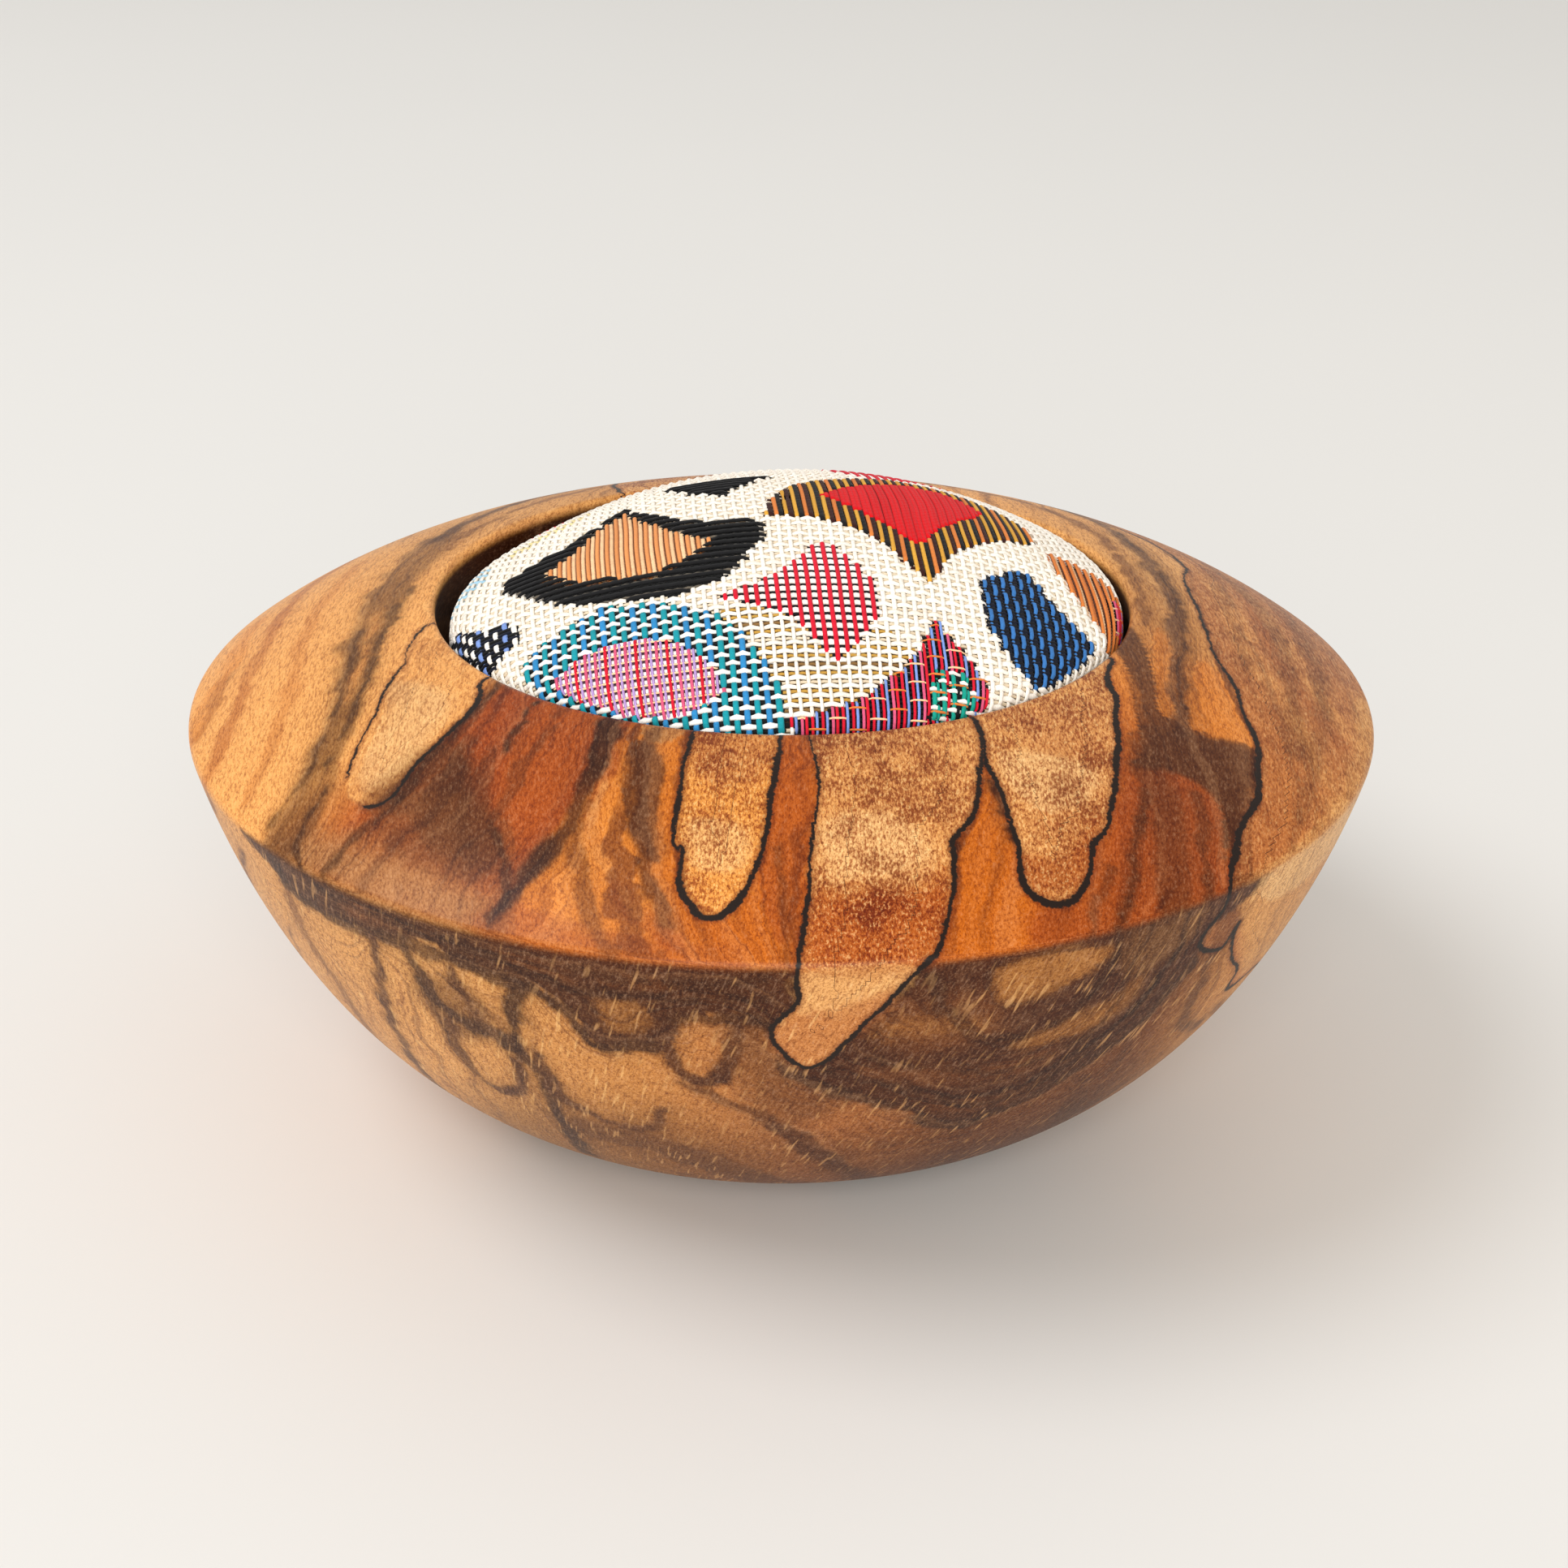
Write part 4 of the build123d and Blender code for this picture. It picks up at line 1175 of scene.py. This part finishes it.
def cloth_place(across, along):
    """Points of the cloth's middle surface, outward normals, plan places and lengths from the crown."""
    u, v = flat_place(across, along)
    reach = np.maximum(np.hypot(u, v), 1e-6)
    ux, uy = u / reach, v / reach
    radius = np.interp(reach, COVER_ALONG, COVER_PATH[:, 0])
    height = np.interp(reach, COVER_ALONG, COVER_PATH[:, 1])
    outward = -np.interp(reach, COVER_ALONG, COVER_TANGENT[:, 1])
    upward = np.interp(reach, COVER_ALONG, COVER_TANGENT[:, 0])
    normals = np.column_stack([ux * outward, uy * outward, upward])
    points = np.column_stack([ux * radius, uy * radius, height]) - normals * YARN_INSET
    plan = np.where(reach < DOME_LENGTH, radius, CUSHION_RADIUS + reach - DOME_LENGTH)
    return settle(points), normals, ux * plan, uy * plan, reach


def region_of(x, y):
    """Number of the region that each plan place is in."""
    found = np.where(y + 0.03 * x**2 < -19.5, REGION_NAMES.index("edge"), 0)
    for name, outline in REGIONS:
        found[inside(x, y, np.array(outline, float))] = REGION_NAMES.index(name)
    return found


def strand_levels(rule, i, j):
    """How high a strand runs where warp i crosses row j: 1 over, -1 under, nothing where it is hidden."""
    if rule in ("tabby", "knot"):
        return np.where((j % 2 == 1) | ((i + j // 2) % 2 == 0), 1.0, -1.0)
    if rule == "float":
        return np.where((j + 2 * i) % 5 < 3, 1.0, -1.2)
    if rule == "short":
        return np.where((j + 2 * i) % 4 < 2, 1.0, -1.2)
    if rule == "skip":
        return np.where((i + (j // 2) * 2) % 4 < 2, 1.5, np.nan)
    return np.full(i.shape, {"over": 1.0, "even": 0.1, "mid": -0.3, "low": -0.75}[rule])


class YarnBin:
    """Gathers strands of one colour into one mesh."""

    def __init__(self):
        self.points, self.quads, self.shades, self.plies, self.count = [], [], [], [], 0

    def add(self, centres, normals, half_widths, half_heights, shade):
        tangents = np.gradient(centres, axis=0)
        across = np.cross(tangents, normals)
        across /= np.linalg.norm(across, axis=1)[:, None]
        angles = np.linspace(0, 2 * math.pi, YARN_SIDES, endpoint=False)
        ring = across[:, None] * (half_widths[:, None] * np.cos(angles))[..., None]
        ring = ring + normals[:, None] * (half_heights[:, None] * np.sin(angles))[..., None]
        rows = len(centres)
        self.points.append((centres[:, None] + ring).reshape(-1, 3))
        last = (rows - 1) * YARN_SIDES
        caps = np.array([[0, 1, 2, 3], [0, 3, 4, 5], [last, last + 3, last + 2, last + 1],
                         [last, last + 5, last + 4, last + 3]])
        self.quads.append(np.vstack([band_faces(rows, YARN_SIDES), caps]) + self.count)
        self.shades.append(np.full(rows * YARN_SIDES, shade))
        self.plies.append((lengths(centres)[:, None] * YARN_TWIST + angles[None]).ravel())
        self.count += rows * YARN_SIDES

    def make(self, name, slot, colour, node):
        """The finished piece of all its strands."""
        yarn = make_piece(name, np.vstack(self.points), np.vstack(self.quads), fix_normals=False)
        add_number(yarn, "shade", np.concatenate(self.shades))
        add_number(yarn, "ply_sine", np.sin(np.concatenate(self.plies)))
        dress(yarn, "cushion", slot, yarn_material(colour), node)


def doubled(values, middles=None):
    """Values along a strand with one more between each two: their mean, or the middles given."""
    made = np.empty((2 * len(values) - 1, *values.shape[1:]))
    made[::2] = values
    made[1::2] = (values[:-1] + values[1:]) / 2 if middles is None else middles
    return made


def shown_runs(levels, kinds):
    """Stretches of one kind along a strand, where it isn't hidden: first and last index of each."""
    runs, start = [], None
    for k in range(len(levels) + 1):
        same = k < len(levels) and not np.isnan(levels[k]) and (start is None or kinds[k] == kinds[start])
        if not same and start is not None:
            if np.nanmax(levels[start:k]) > -1.0:
                runs.append((start, k - 1))
            start = None
        if start is None and k < len(levels) and not np.isnan(levels[k]):
            start = k
    return runs


def weave_strand(bins, strand, number, across, along, i, j, random):
    """Adds one whole strand of the cloth: its visible stretches go to the bins of their colours."""
    points, normals, x, y, reach = cloth_place(across, along)
    regions = region_of(x, y)
    levels = np.full(len(regions), np.nan)
    widths, dips = np.zeros(len(regions)), np.zeros(len(regions))
    kinds = np.full(len(regions), "", dtype=object)
    for region in np.unique(regions):
        weave = WEAVES[REGION_NAMES[region]].get(strand)
        if weave is None:
            continue
        colours, width, rule = weave
        at = regions == region
        found = strand_levels(rule, i[at], j[at])
        if strand == "pick" and rule in ("tabby", "knot"):
            found = -found
        levels[at], widths[at] = found, width
        dips[at] = 0.35 if rule == "knot" and strand == "pick" else 0
        palette = colours.split()
        kinds[at] = palette[number % len(palette)]
    levels[reach > NET_LENGTH] = np.nan
    radius = np.interp(reach, COVER_ALONG, COVER_PATH[:, 0])
    squeeze = np.clip(radius / np.maximum(reach, 1) * 1.06, 0.55, 1)
    for first, last in shown_runs(levels, kinds):
        lo, hi = max(first - 1, 0), min(last + 1, len(levels) - 1)
        span = slice(lo, hi + 1)
        level = levels[span].copy()
        width = np.where(widths[span] > 0, widths[span], widths[first])
        level[0] = -1.5 if lo < first else level[0]
        level[-1] = -1.5 if hi > last else level[-1]
        if len(level) < 2:
            continue
        mid = (level[:-1] + level[1:]) / 2 + np.where((level[:-1] < 0) & (level[1:] < 0), 0.55, 0)
        mid += np.where((level[:-1] > 0.5) & (level[1:] > 0.5), 0.12, -dips[first])
        all_levels, ups = doubled(level, mid), doubled(normals[span])
        ups /= np.linalg.norm(ups, axis=1)[:, None]
        half = doubled(width * squeeze[span] / 2)
        taper = 0.35 if dips[first] else 0.18
        half *= 1 - taper + taper * smooth(all_levels, -1, 0.8)
        half *= random.uniform(0.93, 1.07)
        centres = doubled(points[span]) + ups * (all_levels * YARN_RISE)[:, None]
        height = np.clip(half * 0.75, 0.06, 0.14)
        kind = kinds[first]
        bins.setdefault(kind, YarnBin()).add(centres, ups, half, height, random.uniform(0, 1))


def weave_cloth():
    """Every strand of the tapestry cloth, one piece for each colour of yarn."""
    random = np.random.default_rng(7)
    bins = {}
    warps = int(NET_LENGTH / WARP_PITCH) + 3
    rows = int(NET_LENGTH / PICK_PITCH) + 6
    every_row, every_warp = np.arange(-rows, rows + 1), np.arange(-warps, warps + 1)
    for i in every_warp:
        for strand, offset in (("warp", 0.0), ("second", 0.42)):
            across = np.full(len(every_row), (i + offset) * WARP_PITCH)
            numbers = np.full(len(every_row), i)
            weave_strand(bins, strand, i, across, every_row * PICK_PITCH, numbers, every_row, random)
    for j in every_row:
        numbers = np.full(len(every_warp), j)
        across = every_warp * WARP_PITCH
        strand = "back" if j % 2 else "pick"
        for kind in (strand, "cross") if j % 2 else (strand,):
            along = np.full(len(across), (j + (0.0 if kind != "cross" else 0.1)) * PICK_PITCH)
            weave_strand(bins, kind, j // 2, across, along, every_warp, numbers, random)
    for name, made in sorted(bins.items()):
        made.make(f"yarn_{name}", "tapestry_cloth", name, "cushion_cover")


def yarn_material(name):
    """Soft cotton yarn of one colour, a little uneven from strand to strand."""
    y = Shader(f"cotton_{name}", Roughness=0.8, Sheen_Weight=0.05, Specular_IOR_Level=0.2)
    code = YARNS[name]
    shade = y.number("shade")
    fuzz = y.noise(y.point(), 6.0, 2.0, 0.6)
    colour = y.shaded(y.math("MULTIPLY", shade, 0.3), code, "c8b8a8")
    colour = y.shaded(y.step(fuzz, 0.4, 0.65, 0.0, 0.3), colour, "d8d0c8")
    y.bump(y.math("MULTIPLY_ADD", y.number("ply_sine"), 0.5, y.math("MULTIPLY", fuzz, 0.5)), 0.04)
    return y.finish(colour)


# ======== The cushion's body, lining, filling and base ========
PLEATS = 38
AXIS_GAP = 0.6  # from the axis to the first point of a section
BAG_STEP = 0.9  # between section points, where no yarns lie on them


def turned_form(name, section, columns, shape=None):
    """A settled soft form turned from a section that starts and ends by the axis."""
    points = lathe_points(section, np.linspace(-180, 180, columns, endpoint=False))
    if shape is not None:
        points = shape(points)
    points, fans = close_ends(points, columns)
    points = settle(points)
    return make_piece(name, points, band_faces(len(section), columns), fans), points


def thinned(path, step, start, end):
    """Section points about step apart, from length start to length end."""
    count = max(2, round((end - start) / step))
    return at_length(path, np.linspace(start, end, count))


def bag_section(outer, inner, step, opening):
    """Section of a cloth bag drawn in underneath to an opening: its outside, then back inside."""
    return np.vstack(
        [
            thinned(outer, step, AXIS_GAP, lengths(outer)[-1] - opening),
            thinned(inner, BAG_STEP, AXIS_GAP, lengths(inner)[-1] - opening)[::-1],
        ]
    )


def pleat_wave(azimuth):
    """Goes from -1, on a pleat's crest, to 1, in the crease beside it; azimuth in radians."""
    return np.cos(azimuth * PLEATS + 1.3 * np.sin(azimuth * 5))


def pleated(points):
    """Gathers the cover's underside into pleats that run in to the drawn-up edge."""
    x, y, z = points.T
    azimuth, radius = np.arctan2(x, -y), np.hypot(x, y)
    under = smooth(radius, CUSHION_RADIUS - 1.5, CUSHION_RADIUS - 6)
    under = under * smooth(z, FLOOR_HEIGHT + 1.5, FLOOR_HEIGHT + 0.4)
    lift = under * (0.45 + 0.4 * pleat_wave(azimuth))
    turn = under * 0.012 * np.sin(azimuth * PLEATS)
    c, s = np.cos(turn), np.sin(turn)
    return np.column_stack([x * c - y * s, x * s + y * c, z + lift])


def make_cover_body():
    """The cover's ground behind the yarns, with its pleated underside round the gathering thread; painted
    shade between the strands and in the pleats' creases.
    """
    outer = cushion_path(0.66, FLOOR_HEIGHT, 2.0)
    inner = cushion_path(COVER_THICKNESS, DISC_LOW.z, 1.7)
    section = bag_section(outer, inner, 0.42, GATHER_OPENING)
    body, points = turned_form("cover_ground", section, 360, pleated)
    x, y, z = points.T
    radius = np.maximum(np.hypot(x, y), 1e-6)
    plan = np.where(z > MOUTH_HEIGHT - 0.6, radius, CUSHION_RADIUS + (MOUTH_HEIGHT - z))
    regions = region_of(x / radius * plan, y / radius * plan)
    regions[z < NET_END_HEIGHT] = 0
    # Between the strands: the cloth's colour with painted shade.
    gap_cloth_and_shade = np.array([srgb(GAP_CLOTH_AND_SHADE[name]) for name in REGION_NAMES])
    colour = gap_cloth_and_shade[regions]
    under = smooth(z, NET_END_HEIGHT + 0.5, NET_END_HEIGHT - 0.5)[:, None]
    # Painted shade: the underside's cream is darkened in the creases between the pleats.
    crease = smooth(pleat_wave(np.arctan2(x, -y)), 0.0, 1.0)[:, None]
    base = np.array(srgb(YARNS["cream"])) * (1 - 0.45 * crease)
    colour = colour * (1 - under) + base * under
    add_colour(body, "tint", colour)
    c = Shader("tapestry_ground", Roughness=0.9, Sheen_Weight=0.2, Specular_IOR_Level=0.2)
    tight = c.noise(c.point(), 3.2, 2.0, 0.6)
    colour = c.shaded(c.step(tight, 0.35, 0.65, 0.0, 0.5), c.colour("tint"), "b09a80")
    c.bump(tight, 0.12)
    dress(body, "cushion", "tapestry_cloth", c.finish(colour), "cushion_cover")


def make_filling():
    """The calico liner and the packed fibre in it."""
    outer = cushion_path(COVER_THICKNESS + 0.03, DISC_HIGH.z, 1.2)
    inner = cushion_path(COVER_THICKNESS + LINER_THICKNESS, DISC_HIGH.z + LINER_THICKNESS, 0.8)
    liner, _ = turned_form("calico_liner", bag_section(outer, inner, BAG_STEP, LINER_OPENING), 180)
    c = Shader("calico", Roughness=0.9, Sheen_Weight=0.2)
    grid = c.node("ShaderNodeTexWave", wave_type="BANDS", bands_direction="X")
    rows = c.node("ShaderNodeTexWave", wave_type="BANDS", bands_direction="Y")
    for wave in (grid, rows):
        c.feed(wave.inputs["Vector"], c.point())
        wave.inputs["Scale"].default_value = 0.9
        wave.inputs["Distortion"].default_value = 0.4
    weave = c.math("MULTIPLY", grid.outputs["Fac"], rows.outputs["Fac"])
    slub = c.noise(c.point((1, 6, 1)), 0.5, 2.0, 0.5)
    c.bump(weave, 0.08)
    colour = c.mix(c.step(weave, 0.1, 0.6), "cdbfa2", "e9dfc8")
    colour = c.mix(c.step(slub, 0.5, 0.75, 0.0, 0.4), colour, "c9b58f")
    dress(liner, "cushion", "calico", c.finish(colour), "cushion_liner")
    core = cushion_path(COVER_THICKNESS + LINER_THICKNESS + 0.05, DISC_HIGH.z + LINER_THICKNESS, 0.7)
    core_section = thinned(core, BAG_STEP, AXIS_GAP, lengths(core)[-1] - AXIS_GAP)
    stuffing, _ = turned_form("fibre_stuffing", core_section, 180)
    f = Shader("packed_fibre", Roughness=1.0, Sheen_Weight=0.4)
    tangle = f.noise(f.point((1, 1, 3)), 0.9, 4.0, 0.7)
    f.bump(tangle, 0.4)
    dress(stuffing, "cushion", "fibre_filling", f.finish(f.mix(tangle, "dedad0", "fbfaf6")), "stuffing")


def finish_disc():
    """Plywood for the backing disc, which keeps its CAD mesh: face grain, and plies round its edge."""
    p = Shader("plywood", Roughness=0.7)
    grain = p.noise(p.point((2.2, 0.12, 2.2)), 1.0, 4.0, 0.65)
    layers = p.node("ShaderNodeTexWave", wave_type="BANDS", bands_direction="Z")
    p.feed(layers.inputs["Vector"], p.point())
    layers.inputs["Scale"].default_value = 0.24
    normal = p.node("ShaderNodeNewGeometry").outputs["Normal"]
    edge = p.math("ABSOLUTE", p.node("ShaderNodeSeparateXYZ", [normal]).outputs[2])
    face = p.mix(p.step(grain, 0.35, 0.7), "dcb883", "b98a55")
    side = p.mix(p.step(layers.outputs["Fac"], 0.45, 0.55), "8f6238", "d6b07a")
    p.bump(grain, 0.05)
    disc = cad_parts["backing_disc"]
    disc.data.materials.clear()
    disc.data.materials.append(p.finish(p.mix(p.step(edge, 0.4, 0.8), side, face)))


def make_thread():
    """The running stitch that draws the cover together: cotton thread, its knot and two tails."""
    middle = (THREAD_LOW.z + THREAD_HIGH.z) / 2
    ring = THREAD_HIGH.x - THREAD_RADIUS
    start = np.radians(4)
    a = np.linspace(start, 2 * math.pi - start, 360)
    reach = ring - 0.12 + 0.2 * pleat_wave(a)
    wave = 0.28 * np.cos(a * PLEATS / 2)  # in and out of the cloth
    stitch = np.column_stack([reach * np.sin(a), -reach * np.cos(a), middle + wave])
    t = np.linspace(0, 2 * math.pi, 60)
    knot = np.column_stack([0.34 * (np.sin(t) + 1.6 * np.sin(2 * t)) * 0.7,
                            0.4 - ring + 0.3 * (np.cos(t) - 1.4 * np.cos(2 * t)) * 0.6,
                            middle - 0.34 * np.sin(3 * t) * 0.8])
    tails = [spline([(side * 0.3, 0.5 - ring, middle), (side * 1.2, 2.2 - ring, middle + 0.2),
                     (side * 1.0, 4.4 - ring, middle + 0.3), (side * 2.2, 6.2 - ring, middle + 0.42)], 8)
             for side in (-1, 1)]
    made = YarnBin()
    for line, half in ((stitch, 0.26), (knot, 0.2), (tails[0], 0.17), (tails[1], 0.17)):
        up = np.tile([0.05, 0.08, 1.0], (len(line), 1))
        made.add(line, up, np.full(len(line), half), np.full(len(line), half), 0.3)
    made.make("stitched_thread", "thread", "cream", "gathering_thread")


# ======== Stage ========
CAMERA_TARGET = (0.305, 0.0, 27.93)
CAMERA_DISTANCE = 255.3
CAMERA_HEIGHT_ANGLE = 25.15  # degrees above the horizon
CAMERA_ROLL = 0.477  # degrees
CAMERA_LENS = 57.5
FLOOR_HALF = 20.0  # metres, from the middle to an edge
SURROUND_STRENGTH = 0.71


def make_camera():
    """A camera in front of the bowl that looks down on it."""
    angle, roll = math.radians(CAMERA_HEIGHT_ANGLE), math.radians(CAMERA_ROLL)
    ahead = Vector((0, math.cos(angle), -math.sin(angle)))
    right = Vector((1, 0, 0))
    up = Vector((0, math.sin(angle), math.cos(angle)))
    across = right * math.cos(roll) + up * math.sin(roll)
    upward = up * math.cos(roll) - right * math.sin(roll)
    data = bpy.data.cameras.new("camera")
    data.lens = CAMERA_LENS
    data.sensor_width = 36
    data.clip_start = 0.01
    camera = bpy.data.objects.new("camera", data)
    bpy.context.scene.collection.objects.link(camera)
    turn = Matrix((across, upward, -ahead)).transposed().to_4x4()
    place = (Vector(CAMERA_TARGET) - ahead * CAMERA_DISTANCE) * MM
    camera.matrix_world = Matrix.Translation(place) @ turn
    bpy.context.scene.camera = camera


def area_light(name, place, size, watts, colour):
    """A round soft light, placed in metres and turned to the middle of the object."""
    data = bpy.data.lights.new(name, "AREA")
    data.shape = "DISK"
    data.size = size
    data.energy = watts
    data.color = srgb(colour)
    light = bpy.data.objects.new(name, data)
    bpy.context.scene.collection.objects.link(light)
    light.location = place
    light.rotation_mode = "QUATERNION"
    light.rotation_quaternion = (Vector(place) - Vector((0, 0, 0.03))).to_track_quat("Z", "Y")


def make_stage():
    """A plain pale floor, a soft light up on the left, one in front and an even pale surround."""
    corners = [(x * FLOOR_HALF, y * FLOOR_HALF, 0) for x, y in ((-1, -1), (1, -1), (1, 1), (-1, 1))]
    mesh = bpy.data.meshes.new("floor")
    mesh.from_pydata(corners, [], [(0, 1, 2, 3)])
    floor = bpy.data.objects.new("floor", mesh)
    bpy.context.scene.collection.objects.link(floor)
    paint = Shader("pale_floor", Roughness=0.55)
    cloud = paint.noise(paint.point(), 0.004, 2.0, 0.5)
    mesh.materials.append(paint.finish(paint.mix(cloud, "dddbd7", "e0deda")))
    world = bpy.data.worlds.new("surround")
    world.use_nodes = True
    background = world.node_tree.nodes["Background"]
    background.inputs["Color"].default_value = (*srgb("f4f2ee"), 1)
    background.inputs["Strength"].default_value = SURROUND_STRENGTH
    bpy.context.scene.world = world
    area_light("key", (-1.12, -0.2, 1.65), 1.2, 17.5, "f8faff")
    area_light("fill", (0.0, -2.2, 1.0), 1.8, 44.0, "fffcf8")
    bpy.context.scene.view_settings.view_transform = "Standard"


make_camera()
make_stage()
make_bowl()
make_cover_body()
make_filling()
finish_disc()
make_thread()
weave_cloth()
